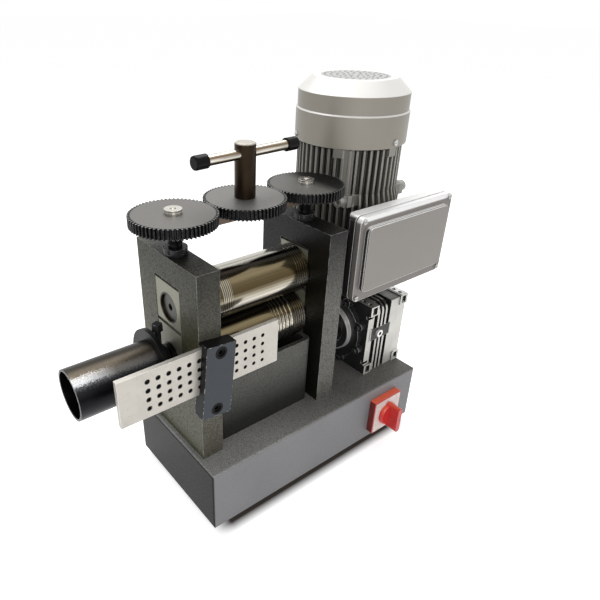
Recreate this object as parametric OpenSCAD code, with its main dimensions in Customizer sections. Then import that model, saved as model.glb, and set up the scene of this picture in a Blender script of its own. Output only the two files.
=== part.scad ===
// Bench rolling mill driven by an upright motor through a worm gearbox.
// Lengths are in millimetres. X runs from the drum end to the motor end, Y from front to back, Z up.
// The origin lies under the middle of the machine, on the table.

/* [Base] */
// Width of the sheet base
base_w = 380; // [376:1:420]
// Depth of the sheet base
base_d = 190; // [186:1:230]
// Height of the sheet base without its feet
base_h = 92.4; // [88:0.2:120]
// Thickness of the base sheet
sheet_t = 3; // [2:0.5:4]
// Outer radius of the bent edges
bend_r = 3.4; // [3:0.2:8]
// Thickness of the bottom plate
bottom_t = 2; // [1.5:0.5:3]
// Height of a rubber foot
foot_h = 13.5; // [8:0.5:16]
// Radius of a rubber foot
foot_r = 14; // [10:0.5:18]
// Distance of a foot's centre from both edges
foot_inset = 24; // [20:1:34]

/* [Pillars] */
// Distance of the left pillar from the base's left end
pillar_inset = 7.5; // [4:0.5:12]
// Thickness of a pillar along the roller axis
pillar_t = 29.4; // [26:0.2:34]
// Depth of a pillar
pillar_d = 131.2; // [124:0.2:136]
// Height of a pillar above the base
pillar_h = 254.6; // [252:0.2:266]
// Distance of the pillars from the base's front
pillar_y = 32.9; // [30:0.1:36]
// Space between the pillars
pillar_gap = 162.6; // [158:0.2:168]
// Width of the bearing window in a pillar
window_w = 55; // [50:0.5:62]
// Height of the window's sill above the base
window_sill = 89.1; // [80:0.1:94]
// Height of the window's top above the base
window_top = 223.3; // [222:0.1:228]

/* [Rollers] */
// Radius of a roller's body
roll_r = 33; // [30:0.25:33.2]
// Gap between the rollers as they stand
roll_gap = 1.8; // [1.7:0.1:2.6]
// Height of the lower roller's axis above the base
roll_axis_h = 120.1; // [119.6:0.1:120.6]
// Space between a roller's end and a pillar
roll_side_gap = 1.3; // [1:0.1:2]
// Radius of a roller's journal
journal_r = 17.5; // [15:0.5:18]
// Wall of a bearing bush
bush_wall = 1.9; // [1.5:0.1:3]
// Depth of a journal's end below the pillar's outer face
journal_recess = 3.5; // [2:0.5:5]
// Radius of the centre hole in a journal's end
centre_hole_r = 4.5; // [3:0.25:6]
// Width of the rings cut in the rollers' ends
ring_w = 1.2; // [0.8:0.1:1.6]
// Depth of the rings cut in the rollers' ends
ring_depth = 0.8; // [0.4:0.1:1.4]
// Radius of the smallest wire groove
wire_groove_r = 1.2; // [0.8:0.1:1.3]
// Growth of the wire grooves from one to the next
wire_groove_step = 0.35; // [0.2:0.05:0.4]

/* [Drive gears] */
// Module of the drive gears, pitch diameter over teeth
drive_module = 4.2; // [4.15:0.05:4.25]
// Width of the teeth
drive_gear_w = 22; // [16:1:26]
// Gap between the right pillar and the drive gears
drive_gear_gap = 3.6; // [3:0.2:6]
// Radius of the shafts in the drive gears
drive_shaft_r = 14; // [11:0.5:15]

/* [Bearing blocks] */
// Height of the lower bearing block
lower_block_h = 71.8; // [68:0.2:72.4]
// Space between the lower and the upper block
block_gap = 4.9; // [4.8:0.1:6]
// Height of the upper bearing block
upper_block_h = 53.8; // [50:0.2:54.4]
// Gap of a block in its window, on each side
block_play = 0.1; // [0.08:0.01:0.15]
// Depth of the blocks' faces below the pillar's faces
block_set_back = 0.6; // [0.4:0.1:1.2]
// Mean radius of a lifting spring
spring_r = 3.4; // [3:0.1:3.6]
// Radius of the lifting springs' wire
spring_wire_r = 0.8; // [0.6:0.05:0.9]
// Depth of a spring's pocket
spring_pocket = 20; // [16:0.5:22]

/* [Press screws] */
// Radius of a press screw
screw_r = 8; // [7:0.25:9]
// Radius of the screw's bright head in its gear
screw_head_r = 10; // [9.5:0.25:12]
// Height of the screw's head above its gear
screw_head_h = 5.2; // [4.4:0.2:12]
// Radius of the round nut on a pillar
collar_r = 14; // [12:0.5:17]
// Height of the round nut
collar_h = 7.5; // [5:0.5:9]
// Height of the bridge bar's top above the pillars
bridge_rise = 33.6; // [28:0.2:36]
// Thickness of the bridge bar
bridge_t = 8.4; // [6:0.2:9]
// Width of the bridge bar
bridge_w = 27; // [24:0.5:32]
// Thickness of the three top gears
top_gear_t = 12.2; // [8:0.2:16]
// Depth of a top gear's teeth
top_tooth_h = 3.3; // [2.8:0.1:3.4]

/* [Handle] */
// Radius of the upright post
post_r = 12.4; // [11:0.2:14]
// Height of the post above its gear
post_h = 63; // [60:1:80]
// Height of the bar's hole above the gear
bar_rise = 50.6; // [46:0.2:54]
// Radius of the sliding bar
bar_r = 6; // [5:0.25:7]
// Length of the sliding bar
bar_len = 148.5; // [140:0.5:180]
// How far the bar stands off the middle of the post
bar_shift = 4.2; // [0:0.2:12]
// Radius of an end cap
cap_r = 8; // [7.4:0.2:9]
// Length of an end cap
cap_len = 16.5; // [14:0.5:28]

/* [Winding drum] */
// Outer radius of the drum's tube
drum_r = 30.6; // [28:0.2:34]
// Wall of the drum's tube
drum_wall = 2.6; // [2:0.2:4]
// Length of the drum's tube
drum_len = 99.2; // [80:0.2:120]
// Radius of the drum's flange
flange_r = 44.2; // [40:0.2:50]
// Thickness of the drum's flange
flange_t = 6; // [4:0.5:8]
// Radius of the drum's hub
hub_r = 20; // [18:0.5:24]
// Length of the drum's hub
hub_len = 13.6; // [13:0.2:16]
// Gap between the hub and the left pillar
hub_gap = 8.9; // [6:0.1:14]
// Radius of the shaft in the hub
hub_shaft_r = 13; // [11:0.5:15]
// Radius of the clamp screw in the hub
hub_screw_r = 3.8; // [3:0.1:4.5]
// Length of the clamp screw between shaft and head
hub_screw_len = 29; // [24:0.5:34]
// Width of the clamp screw's square head
hub_screw_head = 10; // [9:0.25:10]
// Height of the clamp screw's head
hub_screw_head_h = 10; // [7:0.5:12]

/* [Draw plate] */
// Length of the draw plate
plate_len = 210; // [206:1:216]
// Height of the draw plate
plate_h = 59.3; // [56:0.1:60]
// Thickness of the draw plate
plate_t = 6; // [4:0.1:6.2]
// Height of the plate's middle above the base
plate_rise = 138.9; // [138.4:0.1:139.4]
// Distance of the plate's middle to the left of the holder's middle
plate_shift = 11.4; // [0:0.2:20]
// Spacing of the plate's holes along its length
hole_pitch = 12.7; // [11:0.1:13.5]
// Spacing of the rows of holes
row_pitch = 11.8; // [9:0.1:12.5]
// Radius of the widest hole
hole_r_max = 1.75; // [1.5:0.05:2.6]
// Radius of the narrowest hole
hole_r_min = 1.3; // [0.8:0.05:1.45]

/* [Plate holder] */
// Width of the holder
holder_w = 38.8; // [34:0.2:40]
// Height of the holder
holder_h = 96.3; // [95.5:0.1:99]
// Depth of the holder, front to pillar
holder_d = 16.9; // [16.2:0.1:20]
// Height of the holder's middle above the base
holder_rise = 125.6; // [125:0.1:126.2]
// Lean of the holder to the right, in degrees
holder_lean = 5.4; // [0:0.1:5.6]
// Height of the slot for the plate
slot_h = 64.5; // [64:0.1:65]
// Distance of the slot's middle above the holder's middle
slot_rise = 13.05; // [12.8:0.05:13.3]
// Half the distance between the holder's two screws
holder_screw_half = 37.85; // [35:0.05:39]
// Radius of the holder's screws
holder_screw_r = 5; // [4:0.25:6]

/* [Roller guard] */
// Distance of the guard's face in front of the roller axis
guard_reach = 51.5; // [46:0.5:56]
// Height of the guard
guard_h = 102.6; // [96:0.2:106]
// Wall of the guard
guard_wall = 6; // [4:0.5:8]
// Space between the guard and a pillar
guard_side_gap = 6.5; // [4:0.5:10]
// Radius of the guard's upright edges
guard_edge_r = 6; // [3:0.5:10]
// Thickness of the guard's floor
guard_floor = 20; // [14:1:30]

/* [Gearbox] */
// Distance of the gearbox's middle from the right pillar
gearbox_x = 111.1; // [109:0.1:111.1]
// Width of the gearbox along the output shaft
gearbox_w = 80; // [76:0.5:80]
// Depth of the gearbox
gearbox_d = 144; // [140:1:150]
// Height of the gearbox
gearbox_h = 118; // [115:0.5:122]
// Distance of the gearbox's front in front of the roller axis
gearbox_reach = 63.5; // [61.5:0.5:64.5]
// Thickness of the gearbox's end frames
frame_t = 12; // [9:0.5:13]
// Radius of the ribs' front corner
gearbox_corner_r = 14; // [10:1:18]
// Depth of the ribs
rib_depth = 9; // [5:0.5:10]
// Thickness of a rib
rib_t = 4; // [2.5:0.25:5]
// Centre distance of worm and worm wheel
worm_distance = 50; // [49.8:0.1:50.2]
// Module of the worm wheel, pitch diameter over teeth
worm_module = 1.5; // [1.47:0.005:1.51]
// Radius of the circle of cover bolts
cover_bolt_circle = 52.5; // [51:0.25:52.75]
// Thickness of the output cover
cover_t = 8; // [6:0.5:10]
// Outer radius of the cover's spigot
spigot_r = 36; // [33:0.5:38]
// Length of the cover's spigot
spigot_len = 7; // [4:0.5:9]

/* [Motor] */
// Length of the motor's frame
motor_h = 214.6; // [206:0.2:224]
// Outer radius of the upper fins
fin_r = 73.5; // [71:0.25:74.5]
// Outer radius of the lower fins
low_fin_r = 78; // [76:0.25:80]
// Radius of the frame's barrel
barrel_r = 65; // [63:0.25:67]
// Radius of the frame's bore
bore_r = 59; // [57:0.25:60]
// Thickness of a fin
fin_t = 2.5; // [1.5:0.1:3.2]
// Height of the lugs above the frame's lower end
lug_rise = 138.1; // [130:0.5:146]
// Height of a lug
lug_h = 15.5; // [12:0.5:18]
// Half the width over the lugs
lug_half = 61; // [59:0.25:62.5]
// Thickness of the end shields
shield_t = 14; // [10:0.5:16]
// Radius of the motor's shaft
motor_shaft_r = 9; // [8:0.25:10]

/* [Fan cowl] */
// Radius of the cowl's skirt
cowl_r = 78; // [76.5:0.25:80]
// Height of the cowl
cowl_h = 81.5; // [78:0.5:92]
// Thickness of the cowl
cowl_t = 1.8; // [1.2:0.1:2.4]
// Height of the ridge above the cowl's rim
ridge_rise = 40; // [34:0.5:46]
// Height of the upper edge above the cowl's rim
shoulder_rise = 64; // [58:0.5:70]
// Radius of the grille
grille_r = 42; // [36:0.5:48]
// Radius of a grille hole
grille_hole_r = 1.7; // [1.2:0.1:2]

/* [Control box] */
// Width of the control box
box_w = 188; // [182:0.5:196]
// Height of the control box
box_h = 120; // [114:0.5:126]
// Depth of the control box without its lid
box_d = 15; // [14.5:0.5:20]
// Depth of the lid's rim
lid_rim = 8; // [6:0.5:10]
// Height of the lid's raised panel
lid_raise = 6; // [4:0.5:8]
// Margin between the lid's edge and its raised panel, left and right
lid_margin_x = 10.5; // [9.5:0.25:14]
// Margin between the lid's edge and its raised panel, top and bottom
lid_margin_z = 13.5; // [12:0.25:16]
// Radius of the box's corners
box_corner_r = 9; // [6:0.5:12]
// Height of the box's middle above the gearbox
box_rise = 89.1; // [84:0.5:96]
// Depth of the pad between box and motor
pad_d = 22; // [18:0.5:24]

/* [Switch] */
// Side of the switch's red frame
switch_side = 58; // [50:0.5:64]
// Thickness of the red frame
switch_t = 10; // [7:0.5:12]
// Distance of the switch's middle from the base's right end
switch_inset = 69.5; // [50:0.5:90]
// Height of the switch's middle above the base's lower edge
switch_rise = 44; // [42:0.5:50]
// Radius of the knob's round foot
knob_r = 18; // [14:0.5:22]
// Length of the knob's grip
grip_len = 43; // [34:0.5:46]
// Thickness of the knob's grip
grip_t = 9; // [7:0.25:11]
// Height of the grip above the knob's foot
grip_h = 18; // [14:0.5:22]

/* [Hidden] */
$fn = 48;

// Clearances: running fits, seats, faces that lie beside each other, and the overrun of every cut
run_fit = 0.05;
seat_gap = 0.05;
face_gap = 0.3;
cut = 1;

// Heights
base_top = foot_h + base_h;
lower_z = base_top + roll_axis_h;
upper_z = lower_z + 2 * roll_r + roll_gap;
pillar_top = base_top + pillar_h;

// Fronts and ends
left_x = pillar_inset;
right_x = pillar_inset + pillar_t + pillar_gap;
roll_y = pillar_y + pillar_d / 2;
screw_span = pillar_t + pillar_gap;
left_axis_x = left_x + pillar_t / 2;
right_axis_x = left_axis_x + screw_span;
mid_axis_x = left_axis_x + screw_span / 2;
roll_x0 = left_x + pillar_t + roll_side_gap;
roll_len = pillar_gap - 2 * roll_side_gap;

// Bearings of the rollers
bush_r = journal_r + run_fit + bush_wall;
block_t = pillar_t - 2 * block_set_back;
block_w = window_w - 2 * block_play;
sill_z = base_top + window_sill;
lower_block_top = sill_z + lower_block_h;
upper_block_z = lower_block_top + block_gap;
upper_block_top = upper_block_z + upper_block_h;
spring_y = (window_w / 2 + bush_r) / 2 - spring_wire_r;
spring_hole_r = spring_r + 2 * spring_wire_r;
spring_turns = 6;
spring_sides = 6;
spring_rings = 8;
pilot_r = screw_r * 5 / 8;
pilot_h = screw_r;

// Drive gears: two alike on the rollers and a smaller one below
drive_teeth = 16;
output_teeth = 12;
drive_pitch_r = drive_module * drive_teeth / 2;
output_pitch_r = drive_module * output_teeth / 2;
drive_tooth_shares = [1.36, 1.12, 0.62];
drive_x = right_x + pillar_t + drive_gear_gap;
drive_end_x = drive_x + drive_gear_w;
out_z = lower_z - drive_pitch_r - output_pitch_r;

// Top gears: three alike, side by side
top_teeth = 64;
top_pitch_r = screw_span / 4;
top_module = 2 * top_pitch_r / top_teeth;
top_tip_r = top_pitch_r + top_tooth_h * 0.42;
top_root_r = top_pitch_r - top_tooth_h * 0.58;
top_tooth_shares = [2.0, 1.36, 0.7];
bridge_top = pillar_top + bridge_rise;
bridge_z = bridge_top - bridge_t;
top_gear_z = bridge_top + face_gap;
top_gear_top = top_gear_z + top_gear_t;
pin_h = top_gear_t * 0.45;
spigot_post_r = post_r * 0.6;
bar_yaw = 4;

// Drum
hub_x1 = left_x - hub_gap;
hub_x0 = hub_x1 - hub_len;
flange_x0 = hub_x0 - flange_t;
drum_x0 = flange_x0 - drum_len;

// Draw plate and its holder
holder_y = pillar_y - holder_d;
holder_z = base_top + holder_rise;
plate_y = pillar_y - face_gap - plate_t;
plate_z = base_top + plate_rise;
plate_x = left_axis_x - plate_shift;
slot_y = plate_y - face_gap;
hole_columns = 13;
hole_rows = 4;
holes_x = plate_x - plate_len * 0.338;
holes_z = plate_z - row_pitch * 1.58;

// Roller guard
guard_x = left_x + pillar_t + guard_side_gap;
guard_w = pillar_gap - 2 * guard_side_gap;

// Gearbox, worm set and motor axis
gear_x = right_x + pillar_t + gearbox_x;
gearbox_y = roll_y - gearbox_reach;
gear_x0 = gear_x - gearbox_w / 2;
gear_x1 = gear_x + gearbox_w / 2;
motor_x = gear_x;
motor_y = roll_y + worm_distance;
gear_top = base_top + gearbox_h;
wheel_teeth = 50;
worm_pitch = PI * worm_module;
wheel_pitch_r = worm_module * wheel_teeth / 2;
wheel_tip_r = wheel_pitch_r + worm_module * 0.9;
wheel_root_r = wheel_pitch_r - worm_module * 1.2;
wheel_w = worm_module * 14;
wheel_room_r = wheel_tip_r + 2 * worm_module;
worm_pitch_r = worm_distance - wheel_pitch_r;
worm_tip_r = worm_pitch_r + worm_module * 0.9;
worm_root_r = worm_pitch_r - worm_module * 1.2;
worm_turns = 9;
worm_steps = 16;
worm_room_r = worm_tip_r + 2 * worm_module;
worm_len = worm_pitch * (worm_turns + 2);
bearing_wall = 10;
bearing_w = 11;
cover_x0 = gear_x0 - cover_t;

// Motor
motor_z = gear_top;
frame_z = motor_z + shield_t;
motor_top = motor_z + motor_h;
fins = 48;
fin_step = 360 / fins;
lug_z = motor_z + lug_rise;
cowl_top = motor_top + cowl_h;

// Control box
box_back = motor_y - fin_r - pad_d;
gasket_t = 2;
box_front = box_back - box_d;
lid_back = box_front - gasket_t;
lid_front = lid_back - lid_rim;
box_z = gear_top + box_rise;
box_wall = 3;

// Switch
switch_x = base_w - switch_inset;
switch_z = foot_h + switch_rise;
switch_face_t = 1;
knob_y = -switch_t - switch_face_t - face_gap;
knob_foot_t = 6;
knob_front = knob_y - knob_foot_t - grip_h;
knob_stem_r = 3.5;

// Origin under the middle of the whole machine
origin_x = (drum_x0 + motor_x + box_w / 2) / 2;
origin_y = (knob_front + motor_y + cowl_r) / 2;

// A spur gear's outline. shares: tooth widths at root, pitch and tip, times the module
function gear_outline(teeth, root, pitch, tip, module_size, shares, phase) = [
  for (i = [0 : teeth - 1])
    for (k = [[root, -0.5 * shares[0]], [pitch, -0.5 * shares[1]], [tip, -0.5 * shares[2]],
          [tip, 0.5 * shares[2]], [pitch, 0.5 * shares[1]], [root, 0.5 * shares[0]]])
      let (a = 360 / teeth * i + phase + asin(k[1] * module_size / k[0]))
        [k[0] * cos(a), k[0] * sin(a)]
];

// The outline of a ring of straight fins
function fin_outline(count, root, tip, root_w, tip_w) = [
  for (i = [0 : count - 1])
    for (k = [[root, -root_w / 2], [tip, -tip_w / 2], [tip, tip_w / 2], [root, root_w / 2]])
      let (a = 360 / count * i + asin(k[1] / k[0]))
        [k[0] * cos(a), k[0] * sin(a)]
];

// Faces of a tube swept through rings of equal size, with flat ends
function tube_faces(rings, sides) = concat(
  [[for (k = [sides - 1 : -1 : 0]) k]],
  [for (i = [0 : rings - 2])
    for (k = [0 : sides - 1])
      each [
        [i * sides + k, (i + 1) * sides + (k + 1) % sides, (i + 1) * sides + k],
        [i * sides + k, i * sides + (k + 1) % sides, (i + 1) * sides + (k + 1) % sides]
      ]],
  [[for (k = [0 : sides - 1]) (rings - 1) * sides + k]]
);

// A block from one corner, sizes along X, Y and Z
module block(x, y, z, w, d, h) {
  translate([x, y, z])
    cube([w, d, h]);
}

// A disc or shaft along X
module rod_x(x, y, z, r, len) {
  translate([x, y, z])
    rotate([0, 90, 0])
      cylinder(r = r, h = len);
}

// A disc or shaft along Y, starting at the front
module rod_y(x, y, z, r, len) {
  translate([x, y, z])
    rotate([-90, 0, 0])
      cylinder(r = r, h = len);
}

// A disc or shaft along Z
module rod_z(x, y, z, r, len) {
  translate([x, y, z])
    cylinder(r = r, h = len);
}

// A rectangle with four equal round corners, about the middle
module round_rect(w, h, r) {
  square([w - 2 * r, h], center = true);
  square([w, h - 2 * r], center = true);
  for (sx = [-1, 1])
    for (sy = [-1, 1])
      translate([sx * (w / 2 - r), sy * (h / 2 - r)])
        circle(r = r);
}

// Moves the machine so that the origin is under its middle
module place() {
  translate([-origin_x, -origin_y, 0])
    children();
}

// Spots of the feet and of the bolts under the base
foot_spots = [
  for (x = [foot_inset, base_w - foot_inset])
    for (y = [foot_inset, base_d - foot_inset])
      [x, y]
];
bolt_r = 4;
bolt_head_r = 6.5;
bolt_head_h = 5;
bolt_reach = 16;
pillar_bolt_off = pillar_d / 3;
bolt_spots = concat(
  [for (x = [left_axis_x, right_axis_x]) for (s = [-1, 1]) [x, roll_y + s * pillar_bolt_off]],
  [for (s = [-1, 1]) [mid_axis_x + s * guard_w / 3, roll_y]],
  [for (s = [-1, 1]) for (y = [gearbox_y + frame_t, gearbox_y + gearbox_d - frame_t])
    [gear_x + s * (gearbox_w / 2 - frame_t), y]]
);

// Base: a folded and welded sheet box, open below, with a block in each corner for the feet
module base_form(inset) {
  w = base_w - 2 * inset;
  d = base_d - 2 * inset;
  r = bend_r - min(inset, bend_r * 0.8);
  translate([base_w / 2, base_d / 2, 0])
    intersection() {
      translate([0, 0, foot_h])
        linear_extrude(height = base_h - inset)
          round_rect(w, d, r);
      translate([0, 0, foot_h + base_h / 2 - inset])
        rotate([90, 0, 90])
          translate([0, 0, -w])
            linear_extrude(height = 2 * w)
              round_rect(d, base_h, r);
      translate([0, 0, foot_h + base_h / 2 - inset])
        rotate([90, 0, 0])
          translate([0, 0, -d])
            linear_extrude(height = 2 * d)
              round_rect(w, base_h, r);
    }
}

gusset_w = foot_inset + foot_r / 2 - sheet_t;
gusset_h = 16;

module base_shell() {
  color("dimgray")
    difference() {
      union() {
        difference() {
          base_form(0);
          translate([base_w / 2, base_d / 2, foot_h - cut])
            linear_extrude(height = base_h - sheet_t + cut)
              round_rect(base_w - 2 * sheet_t, base_d - 2 * sheet_t, bend_r / 2);
        }
        for (x = [sheet_t / 2, base_w - sheet_t / 2 - gusset_w])
          for (y = [sheet_t / 2, base_d - sheet_t / 2 - gusset_w])
            block(x, y, foot_h + bottom_t + face_gap, gusset_w, gusset_w, gusset_h);
      }
      for (p = bolt_spots)
        rod_z(p[0], p[1], base_top - sheet_t - cut, bolt_r + seat_gap, sheet_t + 2 * cut);
      for (p = foot_spots)
        rod_z(p[0], p[1], foot_h, foot_screw_r + seat_gap, foot_screw_h);
      rod_y(switch_x, -cut, switch_z, switch_neck_r + face_gap, sheet_t + 2 * cut);
    }
}

module bottom_plate() {
  color("gray")
    difference() {
      translate([base_w / 2, base_d / 2, foot_h])
        linear_extrude(height = bottom_t)
          square([base_w - 2 * sheet_t - 2 * face_gap, base_d - 2 * sheet_t - 2 * face_gap], center = true);
      for (p = foot_spots)
        rod_z(p[0], p[1], foot_h - cut, foot_screw_r + seat_gap, bottom_t + 2 * cut);
    }
}

// Feet: rubber pucks with a steel screw sunk in each
foot_screw_r = 3;
foot_screw_head_r = 6;
foot_screw_h = 16;
foot_sink = foot_h * 0.45;

module feet() {
  color("black")
    for (p = foot_spots)
      difference() {
        translate([p[0], p[1], 0])
          rotate_extrude()
            polygon([[0, 0], [foot_r - foot_h / 8, 0], [foot_r, foot_h / 8], [foot_r, foot_h], [0, foot_h]]);
        rod_z(p[0], p[1], -cut, foot_screw_head_r + seat_gap, foot_sink + cut);
        rod_z(p[0], p[1], -cut, foot_screw_r + seat_gap, foot_h + 2 * cut);
      }
}

module foot_screws() {
  color("silver")
    for (p = foot_spots) {
      rod_z(p[0], p[1], foot_sink / 3, foot_screw_head_r, foot_sink * 2 / 3);
      rod_z(p[0], p[1], foot_sink / 2, foot_screw_r, foot_h + foot_screw_h - foot_sink);
    }
}

// Bolts that hold the pillars, the guard and the gearbox from inside the base
module base_bolts() {
  color("dimgray")
    for (p = bolt_spots) {
      rod_z(p[0], p[1], base_top - sheet_t - bolt_head_h, bolt_head_r, bolt_head_h);
      rod_z(p[0], p[1], base_top - sheet_t - bolt_head_h / 2, bolt_r, sheet_t + bolt_head_h / 2 + bolt_reach);
    }
}

// Pillars: steel slabs with a window for the bearing blocks and a threaded hole for the press screw
module pillar(x) {
  difference() {
    block(x, pillar_y, base_top, pillar_t, pillar_d, pillar_h);
    block(x - cut, roll_y - window_w / 2, sill_z, pillar_t + 2 * cut, window_w, window_top - window_sill);
    rod_z(x + pillar_t / 2, roll_y, base_top + window_top - cut, screw_r + run_fit, pillar_h);
    for (s = [-1, 1])
      rod_z(x + pillar_t / 2, roll_y + s * pillar_bolt_off, base_top - cut, bolt_r + seat_gap,
        bolt_reach + 2 * cut);
  }
}

module left_pillar() {
  color("darkslategray")
    difference() {
      pillar(left_x);
      rod_y(holder_screw_x, pillar_y - cut, holder_screw_z, holder_screw_r * 0.8 + seat_gap, holder_screw_in + cut);
    }
}

module right_pillar() {
  color("darkslategray")
    pillar(right_x);
}

// Guard: a trough round the lower roller that keeps wire and fingers out from below
module roller_guard() {
  color("dimgray")
    difference() {
      translate([guard_x + guard_w / 2, roll_y, base_top])
        linear_extrude(height = guard_h)
          round_rect(guard_w, 2 * guard_reach, guard_edge_r);
      translate([guard_x + guard_w / 2, roll_y, base_top + guard_floor])
        linear_extrude(height = guard_h)
          round_rect(guard_w - 2 * guard_wall, 2 * guard_reach - 2 * guard_wall, guard_edge_r / 2);
      rod_x(guard_x - cut, roll_y, lower_z, roll_r + guard_roll_gap, guard_w + 2 * cut);
      for (s = [-1, 1])
        rod_z(mid_axis_x + s * guard_w / 3, roll_y, base_top - cut, bolt_r + seat_gap, bolt_reach + 2 * cut);
    }
}

guard_roll_gap = 2;

// Bearing blocks: cast iron, one pair fixed below, one pair sliding above on springs
module bearing_block(x, z, h, axis_z) {
  difference() {
    block(x + block_set_back, roll_y - block_w / 2, z, block_t, block_w, h);
    rod_x(x - cut, roll_y, axis_z, bush_r + seat_gap, pillar_t + 2 * cut);
  }
}

module lower_blocks() {
  color("slategray")
    for (x = [left_x, right_x])
      difference() {
        bearing_block(x, sill_z + face_gap / 3, lower_block_h - face_gap / 3, lower_z);
        for (s = [-1, 1])
          rod_z(x + pillar_t / 2, roll_y + s * spring_y, lower_block_top - spring_pocket, spring_hole_r,
            spring_pocket + cut);
      }
}

module upper_blocks() {
  color("slategray")
    for (x = [left_x, right_x])
      difference() {
        bearing_block(x, upper_block_z, upper_block_h, upper_z);
        rod_z(x + pillar_t / 2, roll_y, upper_block_top - pilot_h, pilot_r + run_fit, pilot_h + cut);
      }
}

module bush(x, z) {
  difference() {
    rod_x(x + block_set_back, roll_y, z, bush_r, block_t);
    rod_x(x - cut, roll_y, z, journal_r + run_fit, pillar_t + 2 * cut);
  }
}

module lower_bushes() {
  color("goldenrod")
    for (x = [left_x, right_x])
      bush(x, lower_z);
}

module upper_bushes() {
  color("goldenrod")
    for (x = [left_x, right_x])
      bush(x, upper_z);
}

// Springs: wire coils that stand in the lower blocks and lift the upper ones
module spring() {
  run = block_gap + spring_pocket - 2 * spring_wire_r - 2 * seat_gap;
  rings = spring_turns * spring_rings + 1;
  points = [
    for (i = [0 : rings - 1])
      for (k = [0 : spring_sides - 1])
        let (a = 360 / spring_rings * i, b = 360 / spring_sides * k)
          [(spring_r + spring_wire_r * cos(b)) * cos(a), (spring_r + spring_wire_r * cos(b)) * sin(a),
           run * i / (rings - 1) + spring_wire_r * sin(b)]
  ];
  polyhedron(points = points, faces = tube_faces(rings, spring_sides), convexity = 6);
}

module springs() {
  color("silver")
    for (x = [left_axis_x, right_axis_x])
      for (s = [-1, 1])
        translate([x, roll_y + s * spring_y, lower_block_top - spring_pocket + spring_wire_r + seat_gap])
          spring();
}

// Rollers: hardened and polished, with rings or wire grooves turned in them
module roller_body(z) {
  rod_x(roll_x0, roll_y, z, roll_r, roll_len);
}

module journals(z, left_end) {
  rod_x(left_end, roll_y, z, journal_r, roll_x0 - left_end + cut);
  rod_x(roll_x0 + roll_len - cut, roll_y, z, journal_r, drive_x - face_gap - roll_x0 - roll_len + cut);
  rod_x(drive_x - cut, roll_y, z, drive_shaft_r, drive_gear_w + cut);
}

// A groove round a roller, square or round
module ring_cut(x, z, w, depth) {
  translate([x, roll_y, z])
    rotate([0, 90, 0])
      rotate_extrude()
        translate([roll_r - depth, 0])
          square([depth + cut, w]);
}

module wire_cut(x, z, r) {
  translate([x, roll_y, z])
    rotate([0, 90, 0])
      rotate_extrude()
        translate([roll_r, 0])
          circle(r = r, $fn = 24);
}

wire_grooves = 6;
end_rings = 5;

module upper_roller() {
  color("gainsboro")
    difference() {
      union() {
        roller_body(upper_z);
        journals(upper_z, left_x + journal_recess);
      }
      for (i = [0 : end_rings - 1]) {
        ring_cut(roll_x0 + ring_w * 3 * (i + 1), upper_z, ring_w, ring_depth);
        ring_cut(roll_x0 + roll_len - ring_w * 3 * (i + 1) - ring_w, upper_z, ring_w, ring_depth);
      }
      rod_x(left_x, roll_y, upper_z, centre_hole_r, journal_recess + 2 * centre_hole_r);
    }
}

module lower_roller() {
  groove_x = roll_x0 + roll_len - ring_w * 3 * end_rings - ring_w * 4;
  color("gainsboro")
    difference() {
      union() {
        roller_body(lower_z);
        journals(lower_z, left_x - hub_gap / 2);
        rod_x(hub_x0 - flange_t / 2, roll_y, lower_z, hub_shaft_r, hub_len + hub_gap + flange_t / 2);
      }
      for (i = [0 : 2])
        ring_cut(roll_x0 + ring_w * 3 * (i + 1), lower_z, ring_w, ring_depth);
      for (i = [0 : wire_grooves - 1])
        wire_cut(groove_x - (wire_grooves - 1 - i) * (2 * wire_groove_r + ring_w)
          - wire_groove_step * (wire_grooves * (wire_grooves - 1) - i * (i + 1)),
          lower_z, wire_groove_r + i * wire_groove_step);
      for (i = [0 : end_rings - 1])
        ring_cut(roll_x0 + roll_len - ring_w * 3 * (i + 1) + ring_w, lower_z, ring_w, ring_depth);
    }
}

// Drive gears: long teeth, so that they stay in mesh while the upper roller is set
module drive_gear(z, teeth, phase) {
  pitch_r = drive_module * teeth / 2;
  translate([drive_x, roll_y, z])
    rotate([90, 0, 90])
      difference() {
        linear_extrude(height = drive_gear_w)
          polygon(gear_outline(teeth, pitch_r - drive_module * 1.63, pitch_r, pitch_r + drive_module * 0.6,
            drive_module, drive_tooth_shares, phase));
        translate([0, 0, -cut])
          cylinder(r = drive_shaft_r + seat_gap, h = drive_gear_w + 2 * cut);
      }
}

module lower_drive_gear() {
  color("dimgray")
    drive_gear(lower_z, drive_teeth, 180 / drive_teeth);
}

module upper_drive_gear() {
  color("dimgray")
    drive_gear(upper_z, drive_teeth, 0);
}

module output_gear() {
  color("dimgray")
    drive_gear(out_z, output_teeth, 0);
}

// Winding drum: a tube on a flanged hub, clamped on the lower roller's shaft
module drum_tube() {
  color("black")
    difference() {
      rod_x(drum_x0, roll_y, lower_z, drum_r, drum_len - seat_gap);
      rod_x(drum_x0 - cut, roll_y, lower_z, drum_r - drum_wall, drum_len + 2 * cut);
    }
}

module drum_hub() {
  color("black")
    difference() {
      union() {
        rod_x(flange_x0, roll_y, lower_z, flange_r, flange_t);
        rod_x(flange_x0 + flange_t - cut, roll_y, lower_z, hub_r, hub_len + cut);
      }
      rod_x(hub_x0 - flange_t / 2 - face_gap, roll_y, lower_z, hub_shaft_r + seat_gap, hub_len + flange_t);
      rod_z((hub_x0 + hub_x1) / 2, roll_y, lower_z, hub_screw_r + run_fit, hub_r + cut);
    }
}

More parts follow.
